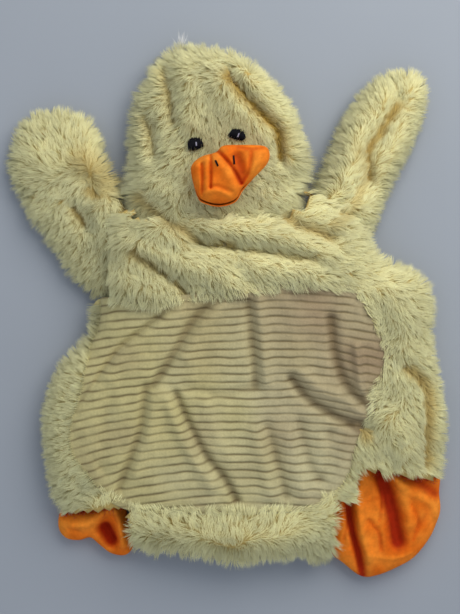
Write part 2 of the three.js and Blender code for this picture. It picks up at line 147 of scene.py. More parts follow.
# %% [markdown]
# Long-pile plush is polyester fibre, crimped and brushed. Each fibre is a little shiny along its
# length, but thousands of them scatter light like a matt cloth. The colour lives on each fibre:
# pale at the tip, and painted deeper and yellower at the root as shade down in the pile. It is
# stored in the mesh as an attribute.

# %% Plush fibre
fibre, tree, shader = material(
    "brushed_polyester_pile", Roughness=0.72, IOR=1.57, Sheen_Weight=0.15, Sheen_Roughness=0.5,
    Specular_IOR_Level=0.25,
)
tint = node(tree, "ShaderNodeAttribute", attribute_name="tint")
tree.links.new(tint.outputs["Color"], shader.inputs["Base Color"])
print("made", fibre.name)

# %% [markdown]
# The pile is knitted into a backing cloth. It only shows where the pile parts, deep down in it,
# so it is painted a dark matt ochre as shade, with the small grain of the knit, about a millimetre
# across.

# %% Knitted backing
backing_shade, tree, shader = material("knitted_backing_painted_shade", Roughness=0.95, IOR=1.5)
place = node(tree, "ShaderNodeTexCoord")
knit = node(tree, "ShaderNodeTexNoise", {
    "Vector": place.outputs["Object"], "Scale": 900, "Detail": 2,
})
shade = node(tree, "ShaderNodeMix", {
    "Factor": knit.outputs["Fac"], 6: linear("#A98A3E"), 7: linear("#D2BC78"),
}, data_type="RGBA")
tree.links.new(shade.outputs[2], shader.inputs["Base Color"])
print("made", backing_shade.name)

# %% [markdown]
# Noise on a plan is a table of random heights with smooth ground between them. The same table
# comes back for the same seed, so nothing changes from run to run.


# %% Smooth noise and smooth lines
def cloud(x, y, grain, seed):
    table = np.random.default_rng(seed).uniform(-1, 1, (64, 64))
    u = np.asarray(x, float) / grain + 31.7
    v = np.asarray(y, float) / grain + 17.3
    i = np.floor(u).astype(int)
    j = np.floor(v).astype(int)
    f = u - i
    g = v - j
    f = f * f * (3 - 2 * f)
    g = g * g * (3 - 2 * g)
    a = table[i % 64, j % 64] * (1 - f) + table[(i + 1) % 64, j % 64] * f
    b = table[i % 64, (j + 1) % 64] * (1 - f) + table[(i + 1) % 64, (j + 1) % 64] * f
    return a * (1 - g) + b * g


def spline(points, closed=False, steps=8):
    p = np.asarray(points, float)
    if closed:
        p = np.vstack([p[-1], p, p[0], p[1]])
    else:
        p = np.vstack([2 * p[0] - p[1], p, 2 * p[-1] - p[-2]])
    t = np.linspace(0, 1, steps, endpoint=False)[:, None]
    runs = []
    for a, b, c, d in zip(p, p[1:], p[2:], p[3:]):
        bend = (2 * a - 5 * b + 4 * c - d) * t ** 2 + (3 * b - a - 3 * c + d) * t ** 3
        runs.append(b + 0.5 * ((c - a) * t + bend))
    line = np.vstack(runs)
    return line if closed else np.vstack([line, p[-2]])


def distance(x, y, line):
    """How far each point lies from a line of short straight runs."""
    spots = np.stack([x, y], -1)
    best = np.full(len(spots), 1e9)
    for a, b in zip(line, line[1:]):
        run = b - a
        share = np.clip((spots - a) @ run / max(run @ run, 1e-12), 0, 1)
        gap = np.hypot(*(spots - a - share[:, None] * run).T)
        best = np.minimum(best, gap)
    return best


def nearest(spot, line):
    """The point of a line closest to one spot."""
    start, way = line[:-1], line[1:] - line[:-1]
    share = np.clip(((spot - start) * way).sum(1) / np.maximum((way ** 2).sum(1), 1e-9), 0, 1)
    points = start + share[:, None] * way
    return points[np.hypot(*(points - spot).T).argmin()]


def inside(x, y, ring):
    hit = np.zeros(len(x), bool)
    for (ax, ay), (bx, by) in zip(ring, np.roll(ring, -1, axis=0)):
        crosses = (ay > y) != (by > y)
        slope = (bx - ax) * (y - ay) / (by - ay if by != ay else 1e-12) + ax
        hit ^= crosses & (x < slope)
    return hit


# %% [markdown]
# Every limp part is the same kind of thing: a sewn bag lying flat. Its outline is a smooth line
# through a few points. It is level in the middle and rounds off to the seam at its edge. Folds
# are smooth lines too, each with a width and a depth: a valley is negative, a ridge is positive.


# %% A limp bag
class Bag:
    def __init__(self, outline, centre, low, middle, high, inset=0.0, power=4.0, folds=(),
                 rumple=1.0, seed=1):
        ring = spline(outline, closed=True)
        arm = ring - centre
        turn = np.arctan2(arm[:, 1], arm[:, 0])
        order = np.argsort(turn)
        self.turns = turn[order]
        self.arms = np.hypot(*arm.T)[order] - inset
        self.centre = np.array(centre, float)
        self.low, self.middle, self.high = low, middle, high
        self.power = power
        self.folds = [(spline(line), width, deep) for line, width, deep in folds]
        self.rumple = rumple
        self.seed = seed

    def reach(self, turn):
        return np.interp(turn, self.turns, self.arms, period=2 * math.pi)

    def crease(self, x, y):
        lift = self.rumple * (cloud(x, y, 26, self.seed) + 0.5 * cloud(x, y, 12, self.seed + 1))
        for line, width, deep in self.folds:
            lift = lift + deep * np.exp(-(distance(x, y, line) / width) ** 2)
        return lift

    def rise(self, x, y):
        arm = np.stack([x, y], -1) - self.centre
        part = np.hypot(*arm.T) / self.reach(np.arctan2(arm[:, 1], arm[:, 0]))
        return np.sqrt(1 - np.clip(part, 0, 1) ** self.power)

    def top(self, x, y):
        rise = self.rise(x, y)
        return self.middle + rise * (self.high - self.middle + self.crease(x, y))

    def skin(self, around, rings):
        """A globe drawn out to the outline and pressed flat, and which of its faces look up."""
        bm = bmesh.new()
        bmesh.ops.create_uvsphere(bm, u_segments=around, v_segments=2 * rings, radius=1)
        co = np.array([v.co for v in bm.verts])
        turn = np.arctan2(co[:, 1], co[:, 0])
        share = 1 - np.abs(np.arcsin(np.clip(co[:, 2], -1, 1))) / (math.pi / 2)
        part = 1 - (1 - share) ** 1.6
        out = part * self.reach(turn)
        x = self.centre[0] + out * np.cos(turn)
        y = self.centre[1] + out * np.sin(turn)
        rise = np.sqrt(1 - np.clip(part, 0, 1) ** self.power)
        up = co[:, 2] > -1e-6
        over = self.high - self.middle + self.crease(x, y)
        z = self.middle + rise * np.where(up, over, self.low - self.middle)
        for vert, spot in zip(bm.verts, to_frame(np.stack([x, y, z], -1))):
            vert.co = spot
        bm.normal_update()
        return bm


# %% [markdown]
# A panel of cloth is cut from a bag's skin: the faces that belong to it are kept, and the rest
# are deleted. Then the cloth is given its thickness, inward, so that it is a closed thin shell.


# %% Cut a panel out of a skin
def link(name, mesh, *materials):
    made = bpy.data.objects.new(name, mesh)
    for finish in materials:
        mesh.materials.append(finish)
    bpy.context.scene.collection.objects.link(made)
    return made


def face_places(bm):
    centres = np.array([face.calc_center_median() for face in bm.faces]) / MM + PLAN_ZERO
    return centres, np.array([face.normal for face in bm.faces])


def cut_panel(name, source, keep, thick, finish):
    bm = source.copy()
    bm.faces.ensure_lookup_table()
    drop = [face for face, kept in zip(bm.faces, keep) if not kept]
    bmesh.ops.delete(bm, geom=drop, context="FACES")
    area = sum(face.calc_area() for face in bm.faces)
    bmesh.ops.solidify(bm, geom=bm.faces[:], thickness=thick * MM)
    bmesh.ops.recalc_face_normals(bm, faces=bm.faces[:])
    mesh = bpy.data.meshes.new(name)
    bm.to_mesh(mesh)
    bm.free()
    mesh.shade_smooth()
    made = link(name, mesh, finish)
    made["cloth_area"] = area
    return made


# %% [markdown]
# One fibre lock is a thin three-sided spike with one joint along it, so that it can curl. It
# is made once, from a cone cut by a plane, and then repeated tens of thousands of times.

# %% One lock of fibre
LOCK_CUTS = (0.5,)
bm = bmesh.new()
bmesh.ops.create_cone(bm, cap_ends=True, segments=3, radius1=1, radius2=0, depth=1)
bmesh.ops.translate(bm, verts=bm.verts[:], vec=(0, 0, 0.5))
bmesh.ops.remove_doubles(bm, verts=bm.verts[:], dist=1e-5)
for level in LOCK_CUTS:
    everything = bm.verts[:] + bm.edges[:] + bm.faces[:]
    bmesh.ops.bisect_plane(bm, geom=everything, plane_co=(0, 0, level), plane_no=(0, 0, 1))
bmesh.ops.recalc_face_normals(bm, faces=bm.faces[:])
bm.verts.index_update()
lock_spots = np.array([v.co for v in bm.verts])
lock_levels = [0.0, *LOCK_CUTS, 1.0]
lock_level = np.abs(lock_spots[:, 2][:, None] - np.array(lock_levels)).argmin(1)
lock_turn = np.arctan2(lock_spots[:, 1], lock_spots[:, 0])
lock_faces = [[v.index for v in face.verts] for face in bm.faces]
bm.free()
print("a lock has", len(lock_spots), "points and", len(lock_faces), "faces")


def lock_map():
    """Where each corner of a lock lies on its own small cell of the bake map."""
    corners = []
    for face in lock_faces:
        if all(lock_level[i] == 0 for i in face):
            corners += [(0.5 + 0.08 * math.cos(lock_turn[i]), 0.1 + 0.05 * math.sin(lock_turn[i]))
                        for i in face]
            continue
        tip = len(lock_levels) - 1
        turns = np.array([lock_turn[i] for i in face if lock_level[i] < tip])
        middle = np.angle(np.exp(1j * turns).sum())
        side = round((middle % (2 * math.pi)) / (2 * math.pi) * 3 - 0.5) % 3
        for i in face:
            off = 0 if lock_level[i] == tip else np.angle(np.exp(1j * (lock_turn[i] - middle)))
            u = (side + 0.5 + off / (2 * math.pi / 3) * 0.9) / 3
            corners.append((0.06 + 0.88 * u, 0.06 + 0.88 * lock_levels[lock_level[i]]))
    return np.array(corners)


lock_uv = lock_map()

# %% [markdown]
# A pile is a great many locks. Each starts at a root on the cloth, leaves it along the cloth's
# normal, and leans over the way the pile was brushed. Locks gather into tufts: a lock's tip is
# drawn toward the tip of the tuft it belongs to. Nothing goes lower than the table.

# %% Grow a pile
TABLE_GAP = 0.45
LOCK_TAPER = np.array([1.0, 0.85, 0.0])
LOCK_FLAT = 0.4             # a lock's thickness as a share of its width
LOCKS_IN_TUFT = 26


def unit(v):
    return v / np.maximum(np.linalg.norm(v, axis=-1, keepdims=True), 1e-9)


def strands(name, roots, first, last, length, wide, root_colour, tip_colour, finish, facing=None):
    """Locks from roots, in plan millimetres, that set out along first and end along last.

    A real lock is a soft bundle that lights like the pile around it, so facing, the way the
    pile as a whole looks at each root, can be mixed into the directions its surface reports.
    """
    count = len(roots)
    t = np.array(lock_levels)[None, :, None]
    path = first[:, None] * t + (last - first)[:, None] * t ** 2 / 2
    path = roots[:, None] + length[:, None, None] * path
    path[..., 2] = np.maximum(path[..., 2], TABLE_GAP)
    along = unit(path[:, -1] - path[:, 0])
    across = unit(np.cross(along, [0.02, 0.01, 1.0]))
    other = np.cross(along, across)
    ring = (np.cos(lock_turn)[None, :, None] * across[:, None]
            + LOCK_FLAT * np.sin(lock_turn)[None, :, None] * other[:, None])
    taper = LOCK_TAPER[lock_level][None, :, None] * wide[:, None, None]
    spots = path[:, lock_level] + ring * taper
    share = np.array(lock_levels)[lock_level][None, :, None] ** 0.8
    colour = root_colour[:, None] * (1 - share) + tip_colour[:, None] * share
    mesh = bpy.data.meshes.new(name)
    per = len(lock_spots)
    corners = np.concatenate(lock_faces)
    sizes = np.array([len(face) for face in lock_faces])
    starts = np.concatenate([[0], np.cumsum(sizes)[:-1]])
    mesh.vertices.add(count * per)
    mesh.vertices.foreach_set("co", to_frame(spots).astype(np.float32).ravel())
    mesh.loops.add(count * len(corners))
    every = (np.arange(count)[:, None] * per + corners[None]).ravel()
    mesh.loops.foreach_set("vertex_index", every.astype(np.int32))
    mesh.polygons.add(count * len(sizes))
    begin = (np.arange(count)[:, None] * len(corners) + starts[None]).ravel()
    mesh.polygons.foreach_set("loop_start", begin.astype(np.int32))
    mesh.update(calc_edges=True)
    mesh.shade_smooth()
    paint = mesh.color_attributes.new("tint", "FLOAT_COLOR", "POINT")
    full = np.ones((count * per, 4), np.float32)
    full[:, :3] = colour.reshape(-1, 3)
    paint.data.foreach_set("color", full.ravel())
    cells = math.ceil(math.sqrt(count))
    cell = np.stack([np.arange(count) % cells, np.arange(count) // cells], -1)
    uv = (cell[:, None] + lock_uv[None]) / cells
    mesh.uv_layers.new(name="OFBake")
    mesh.uv_layers["OFBake"].data.foreach_set("uv", uv.astype(np.float32).ravel())
    if facing is not None:
        own = unit(ring)
        soft = unit(facing[:, None] + 0.3 * own + 0.25 * last[:, None])
        mesh.normals_split_custom_set_from_vertices(soft.reshape(-1, 3).astype(np.float32))
    return link(name, mesh, finish)


# %% [markdown]
# The pile was brushed many ways by handling. A few strokes of an imagined brush say which way it
# lies at each place: x, y and the heading in degrees, counted from the right. Between them the
# heading turns smoothly.

# %% Brush strokes
STROKES = np.array([
    # crown and head
    (-40, 212, 110), (-10, 208, 80), (25, 196, 50), (50, 168, 25), (64, 130, 0), (62, 100, -20),
    (-62, 196, 140), (-76, 165, 165), (-80, 135, 185), (-78, 105, 190), (-74, 85, 200),
    (-30, 175, 250), (5, 175, 285), (-50, 150, 230), (-15, 150, 265), (30, 150, 300),
    (-55, 115, 215), (45, 110, 320), (-40, 95, 240), (30, 88, 300), (0, 76, 270),
    (-34, 192, 165), (-14, 192, 185), (4, 190, 205),
    # neck
    (-80, 69, 200), (-55, 69, 190), (-30, 69, 345), (0, 69, 10), (30, 69, 5), (55, 70, 15),
    # chest
    (-85, 60, 235), (-50, 54, 285), (0, 56, 305), (50, 58, 320), (95, 75, 340), (-70, 30, 285),
    (-20, 32, 300), (40, 32, 325), (85, 35, 330), (-95, 8, 250), (-40, 12, 285), (50, 22, 290),
    # left wing
    (152, 192, 60), (130, 180, 120), (100, 160, 150), (80, 125, 165), (75, 100, 170),
    (125, 140, 75), (155, 160, 10), (145, 120, -15), (130, 90, -30), (105, 95, 60),
    # left side
    (125, 45, 10), (150, 30, 20), (165, 5, 0), (172, -40, -10), (178, -90, -10), (176, -130, -25),
    (130, 5, 290), (145, -40, 300), (128, -30, 235), (150, -85, 300), (122, -75, 200),
    (135, -105, 285), (160, -115, 300),
    # hem
    (80, -150, 120), (40, -165, 80), (0, -168, 95), (-50, -166, 110), (-90, -160, 60),
    (78, -190, 320), (80, -172, 350), (78, -156, 10), (92, -132, 320),
    (97, -119, 300), (86, -146, 335), (55, -192, 290), (30, -200, 280), (-10, -203, 270),
    (-50, -196, 250), (-90, -184, 235),
    # right side
    (-105, -20, 130), (-122, -32, 140), (-140, -50, 150), (-152, -90, 180), (-148, -130, 205),
    (-130, -160, 225), (-122, -85, 170), (-115, -130, 200),
    # right wing
    (-140, 160, 100), (-165, 150, 135), (-175, 120, 180), (-168, 95, 205), (-145, 60, 220),
    (-120, 28, 230), (-95, 8, 250), (-105, 145, 45), (-90, 105, 20), (-78, 80, 15),
    (-140, 125, 110), (-130, 90, 235), (-100, 60, 285),
], float)


def heading(x, y):
    turn = np.radians(STROKES[:, 2])
    far = (x[:, None] - STROKES[:, 0]) ** 2 + (y[:, None] - STROKES[:, 1]) ** 2
    pull = 1 / (far + 25) ** 1.5
    way = np.stack([pull @ np.cos(turn), pull @ np.sin(turn), np.zeros(len(x))], -1)
    return unit(way)


print(len(STROKES), "strokes")

# %% [markdown]
# Where the pile parts, at seams and in the bottom of folds, the deeper yellow of the roots shows.
# There the pile's colour, tips as well as roots, is also painted deeper as shade in the folds.
# Warm lines mark those places.

# %% Where the roots show, and painted shade in the folds
WARM_LINES = [
    # the seam down the left of the face
    ([(2, 182), (16, 164), (28, 151), (39, 140), (41, 122)], 5.0, 1.0),
    ([(-47, 183), (-44, 166), (-41, 149)], 4.5, 0.55),
    ([(-62, 149), (-58, 137), (-56, 125)], 4.5, 0.5),
    # left wing
    ([(135, 159), (122, 140), (112, 124), (112, 102)], 4.5, 0.8),
    ([(105, 122), (106, 96), (95, 77), (81, 65)], 4.0, 0.35),
    # right wing
    ([(-116, 117), (-104, 107), (-98, 98)], 9.0, 0.45),
    ([(-110, 96), (-104, 90)], 4.0, 0.65),
    ([(-121, 80), (-115, 71)], 4.0, 0.7),
    # chest
    ([(-65, 87), (-27, 55), (2, 52)], 4.5, 0.55),
    ([(42, 71), (66, 61), (79, 56)], 5.0, 0.55),
    ([(-73, 45), (-46, 26), (-33, 13)], 4.0, 0.6),
    ([(-24, 52), (18, 47), (66, 39)], 4.0, 0.35),
    # left side
    ([(140, -45), (157, -66), (156, -121)], 4.5, 0.7),
    ([(100, -84), (108, -98)], 5.0, 0.6),
    ([(109, -10), (118, -30)], 4.0, 0.4),
]
WARM_LINES = [(spline(line), width, deep) for line, width, deep in WARM_LINES]


def warmth(x, y):
    most = np.zeros(len(x))
    for line, width, deep in WARM_LINES:
        most = np.maximum(most, deep * np.exp(-(distance(x, y, line) / width) ** 2))
    return most


def parting(spots):
    return warmth(spots[:, 0], spots[:, 1])


# %% Plant a pile on a skin
TIP = np.array(linear("#F9F6BE")[:3])
# the root colour is painted darker than the tip, as shade down in the pile
SHADED_ROOT = np.array(linear("#E4D995")[:3])
# painted shade: the colours of locks that grow in the folds and seams, tips and roots
CREASE_SHADE_TIP = np.array(linear("#D6B44E")[:3])
CREASE_SHADE_ROOT = np.array(linear("#9A6E1E")[:3])
# x, y, reach in mm and how much longer or shorter the pile is around that place
LENGTH_SPOTS = [
    (-88, 100, 20, 0.8), (66, 110, 15, 0.8), (-150, -55, 35, -0.3), (-150, -110, 40, -0.3),
    (132, 52, 13, -0.5), (172, -30, 50, -0.2), (180, -95, 40, -0.2), (154, 150, 30, -0.2),
]


def plant(name, source, keep, allowed, seed, length=11.5, thick=0.2, dense=1.42, under=0.24):
    """Roots are strewn over the kept faces, thickly on top and thinly underneath."""
    rng = np.random.default_rng(seed)
    bm = source.copy()
    bm.faces.ensure_lookup_table()
    drop = [face for face, kept in zip(bm.faces, keep) if not kept]
    bmesh.ops.delete(bm, geom=drop, context="FACES")
    bmesh.ops.triangulate(bm, faces=bm.faces[:])
    bm.normal_update()
    bm.verts.index_update()
    spots = np.array([v.co for v in bm.verts]) / MM + PLAN_ZERO
    normals = np.array([v.normal for v in bm.verts])
    tris = np.array([[v.index for v in face.verts] for face in bm.faces])
    area = np.array([face.calc_area() for face in bm.faces]) / MM ** 2
    facing = np.array([face.normal.z for face in bm.faces])
    bm.free()
    share = np.clip((facing + 0.75) / 0.6, 0, 1)
    wanted = area * (under + (dense - under) * share)
    total = int(wanted.sum())
    pick = rng.choice(len(tris), total, p=wanted / wanted.sum())
    a, b = rng.random((2, total))
    flip = a + b > 1
    a[flip], b[flip] = 1 - a[flip], 1 - b[flip]
    weights = np.stack([1 - a - b, a, b], -1)
    roots = np.einsum("nk,nkd->nd", weights, spots[tris[pick]])
    normal = unit(np.einsum("nk,nkd->nd", weights, normals[tris[pick]]))
    good = allowed(roots[:, 0], roots[:, 1], roots[:, 2])
    roots, normal = roots[good], normal[good]
    count = len(roots)
    flat_out = unit(normal * [1, 1, 0] + 1e-6)
    edge = np.clip(1 - np.abs(normal[:, 2]), 0, 1)[:, None]
    comb = unit(heading(roots[:, 0], roots[:, 1]) * (1.15 - edge) + flat_out * edge)
    under_side = np.clip(-normal[:, 2], 0, 1)[:, None]
    # tufts
    tufts = max(1, count // LOCKS_IN_TUFT)
    middles = rng.choice(count, tufts, replace=False)
    tree = kdtree.KDTree(tufts)
    for i, middle in enumerate(middles):
        tree.insert(roots[middle], i)
    tree.balance()
    tuft = np.array([tree.find(root)[1] for root in roots])
    lean = np.stack([parting(roots + [1, 0, 0]) - parting(roots - [1, 0, 0]),
                     parting(roots + [0, 1, 0]) - parting(roots - [0, 1, 0]),
                     np.zeros(count)], -1) / 2
    comb = unit(comb - 9 * lean)
    sway = rng.normal(0, 0.26, (tufts, 3))[tuft] + rng.normal(0, 0.14, (count, 3))
    comb = unit(comb + sway * [1, 1, 0.25])
    first = unit(normal * 0.85 + comb * 0.45 + rng.normal(0, 0.12, (count, 3)))
    sag = np.array([0, 0, -0.18])
    last = unit(normal * (0.2 - 0.2 * under_side) + comb + sag * (1 - under_side))
    long = length * rng.uniform(0.8, 1.12, tufts)[tuft] * rng.uniform(0.75, 1.1, count)
    for spot_x, spot_y, reach, change in LENGTH_SPOTS:
        far = np.hypot(roots[:, 0] - spot_x, roots[:, 1] - spot_y)
        long *= 1 + change * np.exp(-(far / reach) ** 2)
    long *= 1 - 0.25 * under_side[:, 0] - 0.25 * warmth(roots[:, 0], roots[:, 1])
    tip = roots + long[:, None] * (first + last) / 2
    goal = tip[middles][tuft]
    close = np.clip(1.4 - np.linalg.norm(goal - tip, axis=1) / 9, 0, 1)
    pull = (0.42 * close * rng.uniform(0.5, 1.0, count))[:, None]
    last = last + pull * (goal - tip) / long[:, None] * 2
    # painted shade: locks rooted in the folds and seams are coloured deeper, tips too
    crease_shade = warmth(roots[:, 0], roots[:, 1])[:, None] * (normal[:, 2:3] > 0.2)
    patch = 0.5 + 0.5 * cloud(roots[:, 0], roots[:, 1], 22, seed + 5)[:, None]
    wide_patch = 0.06 * cloud(roots[:, 0], roots[:, 1], 16, 97)
    lightness = 0.96 + wide_patch + 0.05 * rng.normal(0, 1, tufts)[tuft]
    lightness = (lightness + 0.04 * rng.normal(0, 1, count))[:, None]
    tips = (TIP * (1 - crease_shade) + CREASE_SHADE_TIP * crease_shade) * lightness
    base = (SHADED_ROOT * (1 - crease_shade) + CREASE_SHADE_ROOT * crease_shade) * lightness
    base = base * (0.85 + 0.3 * patch)
    made = strands(name, roots, first, last, long, thick * rng.uniform(0.75, 1.25, count),
                   base, np.clip(tips, 0, 0.97), fibre, normal)
    print(name, count, "locks")
    return made


# %% [markdown]
# Now the pieces. The body first: its outline, the outline of the ribbed belly, and its folds.

# %% Outlines
BODY_CENTRE = (8, -70)
BODY = [
    (0, 112), (-40, 108), (-74, 95), (-96, 80), (-106, 55), (-107, 20), (-110, -10),
    (-120, -30), (-139, -49), (-149, -77), (-150, -105), (-145, -137), (-134, -163),
    (-108, -181), (-74, -192), (-38, -201), (2, -208), (42, -207), (80, -202),
    (122, -196), (152, -180), (169, -150), (175, -116), (177, -88), (171, -50),
    (165, -16), (166, 5), (160, 24), (146, 33), (129, 39), (117, 50), (110, 72),
    (95, 92), (72, 102), (40, 110),
]
BELLY = [
    (-101, 6), (-60, 4), (-33, 9), (12, 14), (49, 19), (80, 17), (98, 15), (109, -1),
    (120, -21), (125, -38), (116, -62), (112, -84), (100, -104), (95, -124), (84, -142),
    (60, -156), (0, -159), (-70, -157), (-94, -146), (-108, -130), (-121, -113),
    (-123, -97), (-119, -81), (-112, -57), (-108, -25),
]
HEAD_CENTRE = (-8, 126)
HEAD = [
    (-29, 211), (-10, 209), (8, 205), (21, 197), (36, 185), (47, 170), (56, 154), (62, 137),
    (65, 121), (64, 106), (61, 90), (56, 62), (36, 38), (-8, 30), (-54, 38), (-76, 62),
    (-80, 84), (-79, 102), (-78, 117), (-79, 130), (-79, 144), (-77, 159), (-73, 173),
    (-66, 184), (-59, 197), (-50, 206), (-40, 210),
]
FACE = [
    (-40, 230), (-18, 230), (-6, 189), (9, 174), (21, 158), (35, 146), (41, 130), (44, 116),
    (42, 95), (38, 30), (-62, 30), (-60, 87), (-56, 107), (-50, 127), (-44, 149),
    (-46, 171), (-49, 192),
]
RIGHT_WING_CENTRE = (-122, 90)
RIGHT_WING = [
    (-161, 156), (-148, 161), (-132, 161), (-116, 157), (-106, 144), (-100, 126), (-93, 110),
    (-86, 94), (-74, 78), (-70, 42), (-77, 14), (-92, 4), (-103, 8), (-119, 19), (-133, 38),
    (-153, 62), (-164, 77), (-169, 96), (-176, 107), (-176, 129), (-170, 147),
]
LEFT_WING_CENTRE = (112, 118)
LEFT_WING = [
    (137, 191), (147, 193), (155, 190), (159, 179), (156, 153), (144, 124), (132, 99),
    (121, 80), (109, 54), (88, 58), (66, 74), (72, 92), (78, 114), (85, 134), (94, 153),
    (108, 172), (124, 186),
]
LEFT_WING_ROOT = np.array([(72, 88), (113, 64)], float)
LEFT_FOOT_ROOT = np.array([(86, -116.3), (190, -134.1)])
RIGHT_FOOT_ROOT = np.array([(-190, -166.9), (-79, -149.1)])
NECK_Y = 70
RIGHT_WING_X = -90.35
belly_ring = spline(BELLY, closed=True)


def line_at(root, x):
    (x0, y0), (x1, y1) = root
    return y0 + (y1 - y0) * (x - x0) / (x1 - x0)


BODY_PLAN = np.array([
    (RIGHT_WING_X, 3.5), (-390, 3.5), (-390, line_at(RIGHT_FOOT_ROOT, -390)),
    tuple(RIGHT_FOOT_ROOT[1]), (-73, -188), (-72, -300), (74, -300), (78, -167),
    tuple(LEFT_FOOT_ROOT[0]), (390, line_at(LEFT_FOOT_ROOT, 390)),
    (390, line_at(LEFT_WING_ROOT, 390)), (63, line_at(LEFT_WING_ROOT, 63)), (63, NECK_Y),
    (RIGHT_WING_X, NECK_Y),
], float)

# %% [markdown]
# The body's plush lies over the empty sleeve in soft rolls. The chest has slid down in three of
# them, and the left side has a long fold from the shoulder to the foot.

# %% Body skin
PILE_SIDE = 7.5                              # pile that stands out past the cloth at an edge
PILE_TOP = 6.0                               # pile that lies on the cloth on top
UNDER = 1.6                                  # flattened pile under the cloth

body_bag = Bag(
    BODY, BODY_CENTRE, UNDER, 15, 44 - PILE_TOP, inset=PILE_SIDE, power=5, rumple=1.4, seed=3,
    folds=[
        ([(-65, 87), (-27, 55), (2, 50)], 6, -7),
        ([(-14, 64), (26, 60), (74, 42)], 8, 4),
        ([(42, 71), (66, 61), (79, 56)], 6, -7),
        ([(-80, 52), (-50, 40), (-10, 26), (12, 14)], 8, 5),
        ([(-73, 45), (-46, 26), (-33, 13)], 4.5, -7),
        ([(-24, 52), (18, 47), (66, 39)], 5, -6),
        ([(-60, 68), (-40, 58)], 9, 4),
        ([(-90, 22), (-60, 14)], 9, 4),
        ([(20, 32), (70, 26)], 8, 4),
        ([(140, -45), (157, -66), (156, -121)], 6, -8),
        ([(128, 10), (140, -20), (142, -50)], 9, 4),
        ([(130, -92), (140, -110)], 10, 5),
        ([(168, -60), (170, -110)], 8, 3),
        ([(100, -84), (112, -92)], 6, -6),
        ([(-130, -60), (-137, -100), (-125, -140)], 10, 3),
        ([(-110, -140), (-118, -150)], 6, -4),
        ([(-40, -178), (20, -184), (60, -178)], 9, 3),
    ],
)
body_skin = body_bag.skin(around=200, rings=52)
spot, facing = face_places(body_skin)
print("body skin", len(body_skin.faces), "faces")

# %% Body panels
SLOT = dict(x=5, half=56, low=11, high=24.5, y=-188)


def in_slot(x, y, z):
    return ((np.abs(x - SLOT["x"]) < SLOT["half"]) & (y < SLOT["y"])
            & (z > SLOT["low"]) & (z < SLOT["high"]))


def chest_side(x, y):
    edge = np.where(y < 16, 99 + (y - 16) * 1.08, 99 + (y - 16) * 0.36)
    return x < edge


x, y, z = spot.T
plan_and_flap = BODY_PLAN - [[0, 6 if corner_y < -100 else 0] for _, corner_y in BODY_PLAN]
hem_flap = (x > 70) & (x < 84) & (y < -140) & (y > -197)
toe_flap = (x > 70) & (x < 102) & (y < -110) & (y > -150) & (z > 24)
collar = ((np.abs(x - 57) < 6) | (np.abs(x + 82) < 8)) & (y > NECK_Y - 8) & (y < NECK_Y + 7)
on_body = (inside(x, y, plan_and_flap) | hem_flap | toe_flap | collar) & ~in_slot(x, y, z)
front = z > 15.5
in_belly = inside(x, y, BODY_CENTRE + (belly_ring - BODY_CENTRE) * 0.955) & (z > 25)
chest = front & (y > -20) & (x > -97) & chest_side(x, y)
hem = front & (y < -100 - 34 * np.clip((x - 60) / 28, 0, 1)) & (x > -84) & ~chest
left = front & (x > 8) & ~chest & ~hem
right = front & ~chest & ~hem & ~left
BODY_PARTS = {
    "chest": (chest & ~in_belly, "chest_panel"),
    "side_left": (left & ~in_belly, "side_panel_left"),
    "hem": (hem & ~in_belly, "hem_panel"),
    "side_right": (right & ~in_belly, "side_panel_right"),
    "back_left": (~front & (x > BODY_CENTRE[0]), "back_panel_left"),
    "back_right": (~front & (x <= BODY_CENTRE[0]), "back_panel_right"),
}


def body_pile_allowed(x, y, z):
    bare = inside(x, y, BODY_CENTRE + (belly_ring - BODY_CENTRE) * 0.985) & (z > 22)
    ragged = 3.0 + 3.5 * cloud(x, y, 9, 99)
    over_left = (x > 88) & (y > line_at(LEFT_FOOT_ROOT, x) - ragged) & (y < -100)
    over_right = (x < -80) & (y > line_at(RIGHT_FOOT_ROOT, x) - ragged) & (y < -130)
    corner = (x - 176) + 0.55 * (-118 - y) > 0
    over_hem = (x > 70) & (x < 80 + ragged) & (y < -146) & (y > -196)
    over_toe = (x > 70) & (x < 97 + ragged) & (y < -112) & (y > -150) & (z > 24)
    collar = ((np.abs(x - 57) < 6) | (np.abs(x + 82) < 8)) & (y > NECK_Y - 8) & (y < NECK_Y + 6)
    on_plan = inside(x, y, BODY_PLAN) | over_left | over_right | over_hem | over_toe | collar
    return ~bare & ~in_slot(x, y, z) & on_plan & ~(corner & (y < -112))


CLOTH = 1.2
panels = {}
for number, (name, (keep, cad_node)) in enumerate(BODY_PARTS.items()):
    cloth = cut_panel(f"{name}_cloth", body_skin, keep & on_body, CLOTH, backing_shade)
    pile = plant(f"{name}_pile", body_skin, keep & on_body, body_pile_allowed, seed=20 + number)
    panels[name] = (cloth, pile, cad_node, "torso", None)
body_skin.free()

# %% [markdown]
# The head is one bag with a face between two sides. A deep seam runs down the left of the face.

# %% Head skin
head_bag = Bag(
    HEAD, HEAD_CENTRE, UNDER, 13, 36 - PILE_TOP, inset=PILE_SIDE, power=5, rumple=1.2, seed=9,
    folds=[
        ([(2, 190), (16, 166), (28, 152), (39, 140), (41, 118)], 5, -8),
        ([(14, 186), (34, 164), (48, 140), (50, 118)], 7, 3.5),
        ([(-6, 176), (10, 156), (26, 140)], 8, 2.5),
        ([(-47, 190), (-44, 166), (-41, 149)], 5, -6.5),
        ([(-62, 152), (-58, 137), (-56, 122)], 5, -6.5),
        ([(-32, 190), (-28, 165), (-30, 148)], 8, 4),
        ([(-70, 180), (-71, 150), (-70, 120)], 7, 4),
        ([(-62, 100), (-40, 86)], 9, 3),
        ([(30, 84), (52, 92)], 9, 3),
    ],
)
head_skin = head_bag.skin(around=144, rings=36)
spot, facing = face_places(head_skin)
x, y, z = spot.T
front = z > 13.5
